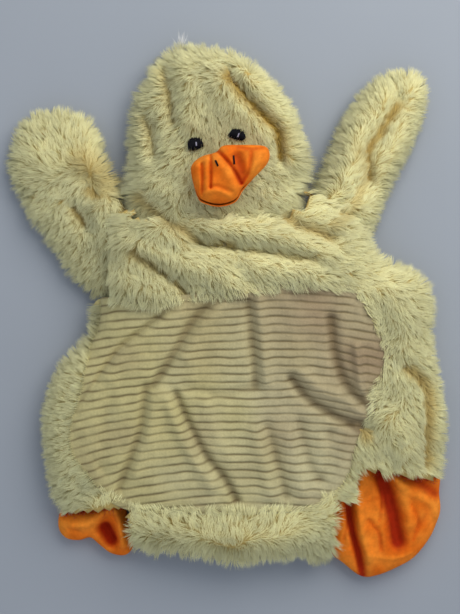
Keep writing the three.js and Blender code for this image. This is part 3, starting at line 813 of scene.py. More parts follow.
in_face = inside(x, y, spline(FACE, closed=True))
HEAD_PARTS = {
    "face": (front & in_face, "face_panel"),
    "head_left": (front & ~in_face & (x > -29), "head_side_left"),
    "head_right": (front & ~in_face & (x <= -29), "head_side_right"),
    "head_back_left": (~front & (x > HEAD_CENTRE[0]), "head_back_left"),
    "head_back_right": (~front & (x <= HEAD_CENTRE[0]), "head_back_right"),
}


def head_pile_allowed(x, y, z):
    return y > NECK_Y - 4


for number, (name, (keep, cad_node)) in enumerate(HEAD_PARTS.items()):
    kept = keep & (y > NECK_Y - 22)
    cloth = cut_panel(f"{name}_cloth", head_skin, kept, CLOTH, backing_shade)
    pile = plant(f"{name}_pile", head_skin, kept, head_pile_allowed, seed=40 + number)
    panels[name] = (cloth, pile, cad_node, "head", ("head_nod", 20, 14))
head_skin.free()

# %% Wing skins
right_wing_bag = Bag(
    RIGHT_WING, RIGHT_WING_CENTRE, UNDER, 9, 22 - PILE_TOP + 2, inset=PILE_SIDE, power=4.5,
    rumple=1.0, seed=13,
    folds=[
        ([(-112, 104), (-104, 92)], 7, -4),
        ([(-121, 82), (-113, 68)], 6, -4),
        ([(-100, 80), (-92, 50)], 9, 5),
        ([(-145, 120), (-135, 80)], 12, 1.5),
    ],
)
left_wing_bag = Bag(
    LEFT_WING, LEFT_WING_CENTRE, UNDER, 10, 26 - PILE_TOP + 1, inset=6.5, power=4.5, rumple=0.8,
    seed=17,
    folds=[
        ([(138, 166), (122, 140), (112, 124), (112, 98)], 5.5, -7),
        ([(126, 172), (106, 146), (98, 122), (96, 100)], 7, 3),
        ([(148, 170), (136, 138), (128, 108)], 7, 3),
    ],
)


def right_wing_allowed(x, y, z):
    return (x < RIGHT_WING_X + 2) & (y > 3.8)


def left_wing_allowed(x, y, z):
    return y > line_at(LEFT_WING_ROOT, x) - 2


WINGS = {
    "wing_right": (right_wing_bag, right_wing_allowed, 9.5, "wing_right_flap"),
    "wing_left": (left_wing_bag, left_wing_allowed, 10.5, "wing_left_flap"),
}
for number, (name, (bag, allowed, split, joint)) in enumerate(WINGS.items()):
    skin = bag.skin(around=96, rings=24)
    spot, facing = face_places(skin)
    x, y, z = spot.T
    for side, keep in (("front", z > split), ("back", z <= split)):
        part = f"{name}_{side}"
        cloth = cut_panel(f"{part}_cloth", skin, keep, CLOTH, backing_shade)
        pile = plant(f"{part}_pile", skin, keep, allowed, seed=60 + 2 * number + (side == "back"),
                     length=10.5)
        panels[part] = (cloth, pile, part, name, (joint, 10, 14))
    skin.free()

# %% [markdown]
# Cloth that crosses a joint has its place baked into its mesh and stays where it lies; it does
# not bend with the joint. The rest is hung on its body.


# %% Hang the plush on the bodies, where it crosses no joint
def bend(piece, joint_name, before, after):
    joint = joints[joint_name]
    where = np.array(joint["pos_m"])
    axis = np.array(joint["axis"])
    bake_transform(piece)


def declare_cloth(piece, held, fill=0.8, **more):
    area = piece["cloth_area"]
    corners = np.array([v.co for v in piece.data.vertices])
    long = float(np.linalg.norm((corners.max(0) - corners.min(0))[:2]))
    print(piece.name, "cut", round(area / fill / long / MM), "x", round(long / MM), "mm")


print(joints["head_nod"])
for name, (cloth, pile, cad_node, body, crossing) in panels.items():
    for piece in (cloth, pile):
        if crossing:
            bend(piece, *crossing)
        else:
            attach(piece, body)
    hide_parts(cad_node)
    declare_cloth(cloth, "laid", with_pieces=[pile])

# %% [markdown]
# The belly is a ribbed knit: flat-topped ribs 6.3 mm apart, with a narrow groove between each
# pair. It is cut larger than the place it fills, so it lies in creases. The ribs are real
# geometry, and so are the creases. The ribs bow a little, and shift where a crease crosses them.

# %% Ribbed cloth finish
ribbed, tree, shader = material(
    "ribbed_velour_knit", Roughness=0.9, IOR=1.5, Sheen_Weight=0.1, Specular_IOR_Level=0.2,
)
tint = node(tree, "ShaderNodeAttribute", attribute_name="tint")
place = node(tree, "ShaderNodeTexCoord")
nap = node(tree, "ShaderNodeTexNoise", {
    "Vector": place.outputs["Object"], "Scale": 700, "Detail": 3,
})
nap_shade = node(tree, "ShaderNodeMapRange", {"Value": nap.outputs["Fac"], "To Min": 0.8,
                                              "To Max": 1.16})
mixed = node(tree, "ShaderNodeMix", {
    "Factor": 1.0, 6: tint.outputs["Color"], 7: nap_shade.outputs["Result"],
}, data_type="RGBA", blend_type="MULTIPLY")
tree.links.new(mixed.outputs[2], shader.inputs["Base Color"])
bump = node(tree, "ShaderNodeBump", {
    "Height": nap.outputs["Fac"], "Strength": 0.35, "Distance": 0.0006,
})
tree.links.new(bump.outputs["Normal"], shader.inputs["Normal"])

# %% Belly creases
RIB = 6.3
GROOVE = 0.8
GROOVE_DEEP = 1.0
BELLY_THICK = 1.4
BELLY_OVERLAP = 1.02        # how far the cloth reaches past its seam, as a share of its width
BELLY_CREASES = [
    ([(15.6, 16), (18.8, -17), (22.6, -60)], 4.0, -4.5),
    ([(23, 14), (26.5, -17), (30, -56)], 5.0, 3.5),
    ([(-42, 4), (-61, -12), (-82, -28), (-96, -45), (-108, -62), (-119, -80)], 2.6, -3.6),
    ([(-38, -4), (-58, -19), (-78, -35), (-92, -54)], 5.0, 2.6),
    ([(-9, 8), (-27, -10), (-42, -35), (-58, -60)], 4.0, -4.6),
    ([(-1, 4), (-18, -14), (-32, -38)], 6.0, 3.0),
    ([(-64, -62), (-68, -95), (-80, -128), (-87, -146)], 4.0, -4.2),
    ([(-56, -66), (-60, -95), (-71, -128)], 6.0, 2.6),
    ([(-92, -70), (-96, -100), (-98, -125)], 6.0, -2.0),
    ([(-40, -67), (-31, -88), (-17, -114), (-2, -133), (7, -150)], 3.6, -5.0),
    ([(-47, -70), (-39, -92), (-26, -118), (-12, -138)], 5.0, 3.4),
    ([(-20, -72), (-10, -96), (2, -118)], 6.0, 1.6),
    ([(81, -8), (84, -35), (91, -56), (101, -69), (113, -77)], 4.5, -5.5),
    ([(100, -30), (102, -48), (104, -64)], 3.6, 5.5),
    ([(50, -54), (64, -71), (83, -83), (97, -90), (108, -97)], 4.0, -5.5),
    ([(58, -50), (72, -62), (90, -70), (106, -82)], 5.5, 3.6),
    ([(104, -91), (108, -96)], 6.0, -4.0),
    ([(31, -92), (38, -118), (46, -146)], 4.5, -3.6),
    ([(22, -96), (28, -120), (34, -146)], 6.0, 2.8),
    ([(56, -90), (62, -112), (70, -134)], 5.0, -2.6),
    ([(80, -98), (80, -116), (74, -132)], 5.0, -2.4),
    ([(47, -96), (52, -118), (58, -140)], 5.5, 2.2),
    ([(-32, -62), (-8, -66), (16, -62)], 5.0, -2.4),
    ([(48, 6), (52, -20), (50, -44)], 9.0, 1.4),
]
BELLY_CREASES = [(spline(line), width, deep) for line, width, deep in BELLY_CREASES]

# %% Belly cloth
CREAM = np.array(linear("#C2BB92")[:3])
SHADE = np.array(linear("#998468")[:3])
YELLOW = np.array(linear("#BDB37C")[:3])
GROOVE_SHADE = np.array(linear("#6E6040")[:3])
BELLY_FOLD_SHADE = np.array(linear("#5E4A2E")[:3])


def belly_crease(x, y):
    lift = 0.8 * cloud(x, y, 18, 77) + 0.35 * cloud(x, y, 6, 78)
    for line, width, deep in BELLY_CREASES:
        lift = lift + deep * np.exp(-(distance(x, y, line) / width) ** 2)
    return lift


def from_groove(x, y, crease):
    """How far each place lies from the nearest groove between two ribs."""
    bow = np.where(x < 20, 0.0003 + 0.0006 * np.clip(-y / 140, 0, 1), 0.0008)
    row = y + bow * (x - 20) ** 2 + 0.3 * crease
    row = row + 1.6 * cloud(x, y, 48, 80) + 0.5 * cloud(x, y, 9, 81)
    return RIB / 2 - np.abs((row / RIB) % 1 - 0.5) * RIB


bm = bmesh.new()
bmesh.ops.create_grid(bm, x_segments=166, y_segments=320, size=0.5)
flat = np.array([v.co for v in bm.verts])[:, :2]
low_corner, high_corner = belly_ring.min(0) - 3, belly_ring.max(0) + 3
x, y = ((flat + 0.5) * (high_corner - low_corner) + low_corner).T
crease = belly_crease(x, y)
groove = np.exp(-(from_groove(x, y, crease) / GROOVE) ** 2)
edge = distance(x, y, np.vstack([belly_ring, belly_ring[:1]]))
rim = np.clip(1 - edge / 14, 0, 1) ** 2
z = body_bag.middle + body_bag.rise(x, y) * (body_bag.high - body_bag.middle) + 1.6
z = z + crease - GROOVE_DEEP * groove - 0.6 * rim + 0.12 * cloud(x, y, 1.3, 82)
# at its seam it lies over the edge of the plush backing
over_seam = np.clip((10 - edge) / 4, 0, 1)
z = z + over_seam * np.clip(body_bag.top(x, y) + 1.3 - z, 0, 6)
for vert, spot in zip(bm.verts, to_frame(np.stack([x, y, z], -1))):
    vert.co = spot
bm.faces.ensure_lookup_table()
centre = np.array([face.calc_center_median() for face in bm.faces]) / MM + PLAN_ZERO
belly_edge = BODY_CENTRE + (belly_ring - BODY_CENTRE) * BELLY_OVERLAP
kept = inside(centre[:, 0], centre[:, 1], belly_edge)
bmesh.ops.delete(bm, geom=[f for f, k in zip(bm.faces, kept) if not k], context="FACES")
# the cut edge follows the seam line
seam = np.vstack([belly_edge, belly_edge[:1]])
for vert in bm.verts:
    if vert.is_boundary:
        flat_spot = np.array(vert.co[:2]) / MM + PLAN_ZERO[:2]
        vert.co[:2] = to_frame([*nearest(flat_spot, seam), 0])[:2]
belly_area = sum(face.calc_area() for face in bm.faces)
bmesh.ops.solidify(bm, geom=bm.faces[:], thickness=BELLY_THICK * MM)
bmesh.ops.recalc_face_normals(bm, faces=bm.faces[:])
belly_mesh = bpy.data.meshes.new("belly_cloth")
bm.to_mesh(belly_mesh)
bm.free()
belly_mesh.shade_smooth()
belly = link("belly_cloth", belly_mesh, ribbed)
belly["cloth_area"] = belly_area
print("belly", len(belly_mesh.polygons), "faces")


# %% Paint a piece by place
def paint(piece, colour_at):
    mesh = piece.data
    count = len(mesh.vertices)
    co = np.zeros(count * 3, np.float32)
    mesh.vertices.foreach_get("co", co)
    x, y, z = (co.reshape(-1, 3) / MM + PLAN_ZERO).T
    full = np.ones((count, 4), np.float32)
    full[:, :3] = colour_at(x, y, z)
    made = mesh.color_attributes.new("tint", "FLOAT_COLOR", "POINT")
    made.data.foreach_set("color", full.ravel())


def belly_colour(x, y, z):
    crease = belly_crease(x, y)
    off = from_groove(x, y, crease)
    streak = 1 + 0.05 * cloud(x, 0.2 * y, 1.6, 87) + 0.05 * cloud(x, y, 7, 88)
    # painted shade: the ribs are mixed toward the brown SHADE colour, more toward the upper right
    # and in patches
    brown_shade = np.clip(0.5 + (x - 20) / 160 + (y + 40) / 200, 0, 1) * 0.75
    brown_shade = np.clip(brown_shade + 0.25 * cloud(x, y, 30, 84), 0, 1)[:, None]
    gold = np.clip(0.4 - x / 160 + 0.3 * cloud(x, y, 25, 85), 0, 0.8)[:, None]
    top = (CREAM * (1 - gold) + YELLOW * gold) * (1 - brown_shade) + SHADE * brown_shade
    # painted shade: the grooves between the ribs are darkened, more in some patches than in others
    groove_shade_patches = np.clip(0.75 + 0.5 * cloud(x, y, 11, 86), 0.25, 1)
    deep = (0.85 * groove_shade_patches * np.exp(-(off / (GROOVE * 1.05)) ** 2))[:, None]
    # painted shade in the bottom of the creases
    fold_shade = np.clip((-crease - 1.5) / 7, 0, 0.55)[:, None]
    ribs = top * streak[:, None] * (1 - deep) + GROOVE_SHADE * deep
    return ribs * (1 - fold_shade) + BELLY_FOLD_SHADE * fold_shade


paint(belly, belly_colour)
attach(belly, "torso")
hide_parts("belly_panel")
declare_cloth(belly, "gathered")

# %% [markdown]
# Beak and feet are velour, a short dense pile on a knit. Stroked one way it looks light, the
# other way deep, so it is blotched. In the folds it sees only itself and turns deep red: that red
# is painted into the colour as shade, and the raised folds are painted lighter as a highlight.

# %% Velour finish
velour, tree, shader = material(
    "brushed_velour", Roughness=0.8, IOR=1.5, Sheen_Weight=0.06, Sheen_Roughness=0.7,
    Sheen_Tint=linear("#FF9A50"), Specular_IOR_Level=0.12,
)
tint = node(tree, "ShaderNodeAttribute", attribute_name="tint")
place = node(tree, "ShaderNodeTexCoord")
stroke = node(tree, "ShaderNodeTexNoise", {
    "Vector": place.outputs["Object"], "Scale": 190, "Detail": 4, "Roughness": 0.6,
})
stroke_shade = node(tree, "ShaderNodeMapRange", {
    "Value": stroke.outputs["Fac"], "From Min": 0.3, "From Max": 0.7,
    "To Min": 0.82, "To Max": 1.15,
})
mixed = node(tree, "ShaderNodeMix", {
    "Factor": 1.0, 6: tint.outputs["Color"], 7: stroke_shade.outputs["Result"],
}, data_type="RGBA", blend_type="MULTIPLY")
tree.links.new(mixed.outputs[2], shader.inputs["Base Color"])
fluff = node(tree, "ShaderNodeTexNoise", {
    "Vector": place.outputs["Object"], "Scale": 1500, "Detail": 2,
})
bump = node(tree, "ShaderNodeBump", {
    "Height": fluff.outputs["Fac"], "Strength": 0.3, "Distance": 0.0004,
})
tree.links.new(bump.outputs["Normal"], shader.inputs["Normal"])

ORANGE = np.array(linear("#E56E12")[:3])
LIGHT_ORANGE = np.array(linear("#F28E2C")[:3])
FOLD_SHADE_ORANGE = np.array(linear("#A82806")[:3])


def velour_colour(bag):
    def colour_at(x, y, z):
        lift = bag.crease(x, y)
        # painted shade: the bottoms of the folds are coloured deep red
        deep = np.clip(-lift / 7, 0, 1)[:, None]
        # painted highlight on the raised folds, mixed with the real blotches of the nap
        ridge_light_and_blotch = np.clip(0.35 + lift / 9 + 0.45 * cloud(x, y, 9, 91), 0, 1)[:, None]
        top = ORANGE * (1 - ridge_light_and_blotch) + LIGHT_ORANGE * ridge_light_and_blotch
        return top * (1 - deep) + FOLD_SHADE_ORANGE * deep
    return colour_at


# %% Feet
LEFT_FOOT = [
    (97, -104), (130, -104), (160, -112), (171, -130),
    (171, -147), (172, -161), (169, -172), (163, -185), (151, -200), (138, -208),
    (121, -215), (107, -216), (92, -205), (83, -197), (80, -180), (80, -167), (85, -150),
    (90, -128),
]
RIGHT_FOOT = [
    (-137, -176), (-135, -162), (-122, -148), (-100, -144), (-87, -145),
    (-82, -156), (-79, -170), (-76, -180), (-74, -190), (-81, -199), (-93, -198),
    (-103, -191), (-111, -185), (-120, -187), (-131, -185),
]
left_foot_bag = Bag(
    LEFT_FOOT, (124, -166), 1.0, 10.5, 23, inset=1.0, power=3.4, rumple=0.7, seed=31,
    folds=[
        ([(104, -118), (97, -139), (97, -159), (100, -178), (105, -197), (108, -214)], 3.0, -10),
        ([(111, -122), (104, -140), (104, -160), (107, -180), (112, -199)], 5.0, 4),
        ([(121, -126), (128, -148), (132.5, -166), (136, -186)], 6.0, -9.5),
        ([(131, -134), (141, -152), (145, -172)], 5.0, 3),
        ([(132, -134), (147, -147), (162, -155), (168, -165)], 3.2, 4),
        ([(138, -126), (152, -138), (166, -148)], 4.0, -5),
        ([(103, -156.5), (111, -152.6), (119, -150)], 1.3, -1.4),
        ([(111, -196), (132, -199), (147, -195)], 1.6, 1.2),
        ([(148, -176), (156, -168), (160, -160)], 3.0, -1.2),
        ([(118, -133), (123, -150), (121, -168)], 1.4, -2.0),
        ([(112, -168), (120, -178), (122, -192)], 1.5, -2.2),
        ([(146, -156), (152, -170), (148, -184)], 1.5, -2.0),
        ([(128, -128), (141, -134), (156, -133)], 1.4, -1.8),
        ([(92, -150), (96, -168), (92, -184)], 1.4, -1.6),
    ],
)
right_foot_bag = Bag(
    RIGHT_FOOT, (-101, -171), 1.0, 9, 17, inset=1.0, power=3.4, rumple=0.6, seed=33,
    folds=[
        ([(-134, -173), (-114, -172), (-98, -162), (-91, -157)], 5.0, 5),
        ([(-130, -161), (-112, -158), (-102, -153)], 4.5, -7),
        ([(-91, -156), (-86, -169), (-83, -189)], 3.6, 5.5),
        ([(-98, -176), (-93, -185)], 5.0, -12),
        ([(-79, -163), (-76, -181)], 2.5, -4),
        ([(-127, -176), (-119, -177)], 2.0, -1.5),
    ],
)
FEET = {
    "foot_left": (left_foot_bag, 11.5, "foot_left_swing", LEFT_FOOT_ROOT),
    "foot_right": (right_foot_bag, 9.5, "foot_right_swing", RIGHT_FOOT_ROOT),
}
for number, (name, (bag, split, joint, root)) in enumerate(FEET.items()):
    skin = bag.skin(around=128, rings=36)
    spot, facing = face_places(skin)
    over = facing[:, 2] > 0
    level = spot[:, 2] > split - 1
    for side, keep in (("top", level | over), ("sole", ~(level | over))):
        part = f"{name}_{side}"
        cloth = cut_panel(f"{part}_cloth", skin, keep, 1.0, velour)
        paint(cloth, velour_colour(bag))
        bend(cloth, joint, 10, 12)
        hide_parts(part)
        declare_cloth(cloth, "fold_shade")
    skin.free()
    # the red-orange fuzz that frays out of the seam
    rng = np.random.default_rng(70 + number)
    count = 420
    low_x, high_x = (92, 166) if name == "foot_left" else (-132, -80)
    fx = rng.uniform(low_x, high_x, count)
    fy = line_at(root, fx) - 6.0 + rng.normal(0, 2.2, count)
    fz = bag.top(fx, fy) - 0.4
    roots = np.stack([fx, fy, fz], -1)
    out = unit(np.stack([rng.normal(0, 0.5, count), rng.normal(0.3, 0.6, count),
                         rng.uniform(0.4, 1, count)], -1))
    red = np.array(linear("#E2400F")[:3]) * rng.uniform(0.7, 1.2, (count, 1))
    # the roots are painted a little darker than the tips, as shade at the foot of the fuzz
    fuzz = strands(f"{name}_seam_fuzz", roots, out, unit(out + [0, 0.4, -0.6]),
                   rng.uniform(3, 6.5, count), np.full(count, 0.2), red * 0.8,
                   np.clip(red, 0, 0.97), fibre)
    bend(fuzz, joint, 10, 12)

# %% [markdown]
# The beak is a pouch of the same velour, crumpled by being squashed. Inside each half is a stiff
# board faced with felt, and a cotton pocket for the fingers above and the thumb below.

# %% Beak
BEAK = [
    (-28, 105), (-26, 112), (-19, 117), (-9, 120), (-3, 125), (12, 125.6), (27, 125),
    (32, 121), (31, 112), (20, 100), (12, 93), (6, 84), (-6, 80.5), (-18, 83), (-23, 88),
]
BEAK_CENTRE = (0, 106)
mouth = {name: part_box(name) for name in ("mouth_floor", "mouth_palate")}
MOUTH_LEVEL = (mouth["mouth_floor"][1].z + mouth["mouth_palate"][0].z) / 2 / MM
BEAK_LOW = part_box("beak_lower_skin")[0].z / MM
BEAK_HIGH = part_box("beak_upper_skin")[1].z / MM
print("mouth at", round(MOUTH_LEVEL, 1), "beak", round(BEAK_LOW, 1), round(BEAK_HIGH, 1))
SEAM_GAP = 0.25

upper_bag = Bag(
    BEAK, BEAK_CENTRE, MOUTH_LEVEL + SEAM_GAP, MOUTH_LEVEL + SEAM_GAP, BEAK_HIGH - 2.5,
    power=3.6, rumple=0.4, seed=41,
    folds=[
        ([(-12.8, 119), (-12.6, 105), (-12.8, 92)], 1.0, -3.4),
        ([(-19.6, 110), (-19.2, 98), (-19.6, 87)], 1.1, -3.0),
        ([(-16, 114), (-16, 92)], 2.2, 1.2),
        ([(-23.5, 108), (-22.5, 95)], 2.5, 1.2),
        ([(-8.2, 121), (-0.4, 112.6), (4.6, 106), (10.4, 95.5)], 1.5, -4.0),
        ([(-9, 114), (-3.5, 107), (1, 100), (5, 92)], 4.0, 2.4),
        ([(7, 116), (10, 108), (12, 100)], 4.5, -4.5),
        ([(29, 121), (22.5, 111), (15, 99)], 4.0, 3.2),
        ([(18.2, 119), (16.2, 104.8), (11.3, 96)], 1.5, -3.0),
        ([(-19.6, 86.6), (-9, 89.5), (2.5, 85)], 1.8, 1.4),
        ([(-18, 90.5), (-8, 93), (3, 89)], 1.5, -1.2),
        ([(8.5, 123.4), (18, 121.5), (28, 122.8)], 1.6, -2.6),
        ([(0, 121), (4, 118)], 3.0, 1.2),
    ],
)
LOWER_BEAK = [(x, y - (2.2 if y < 95 else 0)) for x, y in BEAK]
lower_bag = Bag(
    LOWER_BEAK, BEAK_CENTRE, BEAK_LOW + 0.2, MOUTH_LEVEL - SEAM_GAP, MOUTH_LEVEL - SEAM_GAP,
    power=3.6, rumple=0.0, seed=43,
)
HALVES = {
    "beak_upper": (upper_bag, True, "beak_upper_skin", "upper_beak"),
    "beak_lower": (lower_bag, False, "beak_lower_skin", "lower_beak"),
}
for name, (bag, above, cad_node, body) in HALVES.items():
    skin = bag.skin(around=144, rings=40)
    spot, facing = face_places(skin)
    if above:
        keep = spot[:, 2] > MOUTH_LEVEL + SEAM_GAP + 0.02
    else:
        keep = spot[:, 2] < MOUTH_LEVEL - SEAM_GAP - 0.02
    cloth = cut_panel(f"{name}_cloth", skin, keep, 0.9, velour)
    skin.free()
    paint(cloth, velour_colour(bag))
    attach(cloth, body)
    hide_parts(cad_node)
    declare_cloth(cloth, "fold_shade" if above else "stretched")

# %% Felt, board and cotton
felt, tree, shader = material("pressed_felt", Roughness=0.95, IOR=1.5)
place = node(tree, "ShaderNodeTexCoord")
wool = node(tree, "ShaderNodeTexNoise", {
    "Vector": place.outputs["Object"], "Scale": 1200, "Detail": 4,
})
shade = node(tree, "ShaderNodeMix", {
    "Factor": wool.outputs["Fac"], 6: linear("#8E2410"), 7: linear("#D2542C"),
}, data_type="RGBA")
tree.links.new(shade.outputs[2], shader.inputs["Base Color"])
bump = node(tree, "ShaderNodeBump", {
    "Height": wool.outputs["Fac"], "Strength": 0.5, "Distance": 0.0003,
})
tree.links.new(bump.outputs["Normal"], shader.inputs["Normal"])

board, tree, shader = material("grey_pasteboard", Roughness=0.85, IOR=1.5)
place = node(tree, "ShaderNodeTexCoord")
pulp = node(tree, "ShaderNodeTexNoise", {
    "Vector": place.outputs["Object"], "Scale": 500, "Detail": 5,
})
shade = node(tree, "ShaderNodeMix", {
    "Factor": pulp.outputs["Fac"], 6: linear("#6E675C"), 7: linear("#A39C8E"),
}, data_type="RGBA")
tree.links.new(shade.outputs[2], shader.inputs["Base Color"])

cotton, tree, shader = material("plain_weave_cotton", Roughness=0.9, IOR=1.53)
place = node(tree, "ShaderNodeTexCoord")
# a thread every 0.9 mm, coarser than life so that it shows
WEAVE_TURNS = 2 * math.pi / (0.9 * MM)
across = node(tree, "ShaderNodeTexWave", {
    "Vector": place.outputs["Object"], "Scale": WEAVE_TURNS / 20, "Distortion": 0.6,
}, bands_direction="X")
along = node(tree, "ShaderNodeTexWave", {
    "Vector": place.outputs["Object"], "Scale": WEAVE_TURNS / 20, "Distortion": 0.6,
}, bands_direction="Y")
weave = node(tree, "ShaderNodeMath", {0: across.outputs["Fac"], 1: along.outputs["Fac"]},
             operation="MULTIPLY")
shade = node(tree, "ShaderNodeMix", {
    "Factor": weave.outputs["Value"], 6: linear("#BDB59C"), 7: linear("#EFE9D8"),
}, data_type="RGBA")
tree.links.new(shade.outputs[2], shader.inputs["Base Color"])
bump = node(tree, "ShaderNodeBump", {
    "Height": weave.outputs["Value"], "Strength": 0.4, "Distance": 0.0003,
})
tree.links.new(bump.outputs["Normal"], shader.inputs["Normal"])

# %% [markdown]
# The felt linings are thin flat sheets cut along a straight line at the hinge of the mouth. The
# boards behind them are already right in the model, and only need their finish.


# %% Mouth
def bag_solid(name, bag, around, rings, finish, stop_y=None):
    bm = bag.skin(around, rings)
    if stop_y is not None:
        everything = bm.verts[:] + bm.edges[:] + bm.faces[:]
        where = to_frame([0, stop_y, 0])
        cut = bmesh.ops.bisect_plane(bm, geom=everything, plane_co=where, plane_no=(0, 1, 0),
                                     clear_outer=True)
        rim = [e for e in cut["geom_cut"] if isinstance(e, bmesh.types.BMEdge)]
        bmesh.ops.contextual_create(bm, geom=rim)
    bmesh.ops.recalc_face_normals(bm, faces=bm.faces[:])
    mesh = bpy.data.meshes.new(name)
    bm.to_mesh(mesh)
    bm.free()
    mesh.shade_smooth()
    return link(name, mesh, finish)


HINGE_Y = 110
for name, cad_node, body in (("mouth_floor_felt", "mouth_floor", "lower_beak"),
                             ("mouth_palate_felt", "mouth_palate", "upper_beak")):
    low, high = (corner.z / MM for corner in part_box(cad_node))
    lining = Bag(BEAK, BEAK_CENTRE, low, (low + high) / 2, high, inset=2.6, power=14,
                 rumple=0.08, seed=50)
    piece = bag_solid(name, lining, 96, 16, felt, HINGE_Y)
    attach(piece, body)
    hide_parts(cad_node)

for cad_node in ("mouth_plate_lower", "mouth_plate_upper"):
    plate = frame["nodes"][cad_node]
    for slot in plate.material_slots:
        slot.material = board

for name, cad_node, body in (("thumb_pocket_cloth", "thumb_pocket", "lower_beak"),
                             ("finger_pocket_cloth", "finger_pocket", "upper_beak")):
    low, high = (corner.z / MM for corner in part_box(cad_node))
    roof = low + 0.25 * (high - low) if body == "upper_beak" else high - 0.8
    pocket = Bag(BEAK, BEAK_CENTRE, low + 0.3, (low + roof) / 2, roof, inset=6.5, power=3,
                 rumple=0.3, seed=55)
    skin = pocket.skin(72, 14)
    spot, facing = face_places(skin)
    piece = cut_panel(name, skin, spot[:, 1] < HINGE_Y - 1, 0.5, cotton)
    skin.free()
    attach(piece, body)
    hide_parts(cad_node)
    declare_cloth(piece, "fold_shade")

# %% [markdown]
# Sleeve lining: a loose cotton bag inside the body, open at the hem for the hand. It is seen
# through the hand opening, whose two lips are bound with a folded cotton tape.

# %% Lining
lining_bag = Bag(
    BODY, BODY_CENTRE, 9.8, 17.5, 28.5, inset=18.5, power=4, rumple=1.2, seed=61,
    folds=[([(-20, -190), (-12, -120)], 6, -3), ([(30, -190), (34, -110)], 7, -3)],
)
skin = lining_bag.skin(112, 24)
spot, facing = face_places(skin)
x, y, z = spot.T
within = (y < NECK_Y - 6) & inside(x, y, BODY_PLAN) & ~in_slot(x, y, z)
for name, cad_node, keep in (("sleeve_lining_front_cloth", "sleeve_lining_front", z > 17.5),
                             ("sleeve_lining_back_cloth", "sleeve_lining_back", z <= 17.5)):
    piece = cut_panel(name, skin, keep & within, 0.7, cotton)
    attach(piece, "torso")
    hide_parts(cad_node)
    declare_cloth(piece, "laid")
skin.free()


# %% Binding tape
def tape(name, low, high, cad_node):
    """A tape folded over an edge: its round fold faces the hand, its two plies run inward."""
    bm = bmesh.new()
    bmesh.ops.create_grid(bm, x_segments=72, y_segments=20, size=0.5)
    flat = np.array([v.co for v in bm.verts])[:, :2] + 0.5
    x = SLOT["x"] + (flat[:, 0] - 0.5) * 2 * (SLOT["half"] - 2.5)
    turn = flat[:, 1] * 2 * math.pi
    deep, thick = 9.0, high - low
    ring = spline(BODY, closed=True)
    low_part = ring[ring[:, 1] < -150]
    order = np.argsort(low_part[:, 0])
    edge = np.interp(x, low_part[order, 0], low_part[order, 1])
    across = np.sign(np.cos(turn)) * np.abs(np.cos(turn)) ** 0.5
    upright = np.sign(np.sin(turn)) * np.abs(np.sin(turn)) ** 0.7
    y = edge + 8.5 + deep / 2 - across * deep / 2 + 0.4 * cloud(x, x * 0, 14, 63)
    z = (low + high) / 2 + upright * thick / 2 + 0.5 * cloud(x, x * 0, 17, 64)
    for vert, spot in zip(bm.verts, to_frame(np.stack([x, y, z], -1))):
        vert.co = spot
    bmesh.ops.remove_doubles(bm, verts=bm.verts[:], dist=1e-6)
    bmesh.ops.holes_fill(bm, edges=[e for e in bm.edges if e.is_boundary])
    bmesh.ops.recalc_face_normals(bm, faces=bm.faces[:])
    mesh = bpy.data.meshes.new(name)
    bm.to_mesh(mesh)
    bm.free()
    mesh.shade_smooth()
    made = link(name, mesh, cotton)
    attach(made, "torso")
    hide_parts(cad_node)
    return made


for name, cad_node in (("opening_tape_front", "opening_binding_front"),
                       ("opening_tape_back", "opening_binding_back")):
    low, high = (corner.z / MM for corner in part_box(cad_node))
    tape(name, low, high, cad_node)

# %% [markdown]
# The eyes are satin stitch: black thread laid side by side over a little arch, uneven at the top
# edge. Two short pale threads laid over the middle are a painted highlight, the glint of light on
# the black thread. The nostrils are single thick stitches.

# %% Thread finish
thread, tree, shader = material(
    "black_rayon_thread", Roughness=0.6, IOR=1.47, Specular_IOR_Level=0.15,
)
place = node(tree, "ShaderNodeTexCoord")
ply = node(tree, "ShaderNodeTexNoise", {
    "Vector": place.outputs["Object"], "Scale": 900, "Detail": 2,
})
shade = node(tree, "ShaderNodeMix", {
    "Factor": ply.outputs["Fac"], 6: linear("#020203"), 7: linear("#0E0D18"),
}, data_type="RGBA")
tree.links.new(shade.outputs[2], shader.inputs["Base Color"])
# painted highlight: pale violet-white thread stands for the glint of light on the black stitches
painted_glint_thread, tree, shader = material("pale_rayon_painted_glint", Roughness=0.35, IOR=1.47)
place = node(tree, "ShaderNodeTexCoord")
ply = node(tree, "ShaderNodeTexNoise", {
    "Vector": place.outputs["Object"], "Scale": 1400, "Detail": 2,
})
shade = node(tree, "ShaderNodeMix", {
    "Factor": ply.outputs["Fac"], 6: linear("#8F8AB8"), 7: linear("#E8E6F4"),
}, data_type="RGBA")
tree.links.new(shade.outputs[2], shader.inputs["Base Color"])


# %% Stitches
def stitches(name, lines, thick, finish, body, cad_node):
    """Threads as round tubes along short lines, made one mesh."""
    curve = bpy.data.curves.new(name, "CURVE")
    curve.dimensions = "3D"
    curve.bevel_depth = thick / 2 * MM
    curve.bevel_resolution = 1
    curve.use_fill_caps = True
    for line in lines:
        run = curve.splines.new("POLY")
        run.points.add(len(line) - 1)
        spots = np.hstack([to_frame(line), np.ones((len(line), 1))])
        run.points.foreach_set("co", spots.ravel())
    holder = bpy.data.objects.new(name, curve)
    bpy.context.scene.collection.objects.link(holder)
    shape = holder.evaluated_get(bpy.context.evaluated_depsgraph_get())
    mesh = bpy.data.meshes.new_from_object(shape)
    bpy.data.objects.remove(holder)
    mesh.name = name
    mesh.materials.clear()
    mesh.shade_smooth()
    made = link(name, mesh, finish)
    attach(made, body)
    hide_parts(cad_node)
    print(name, len(lines), "stitches")
    return made


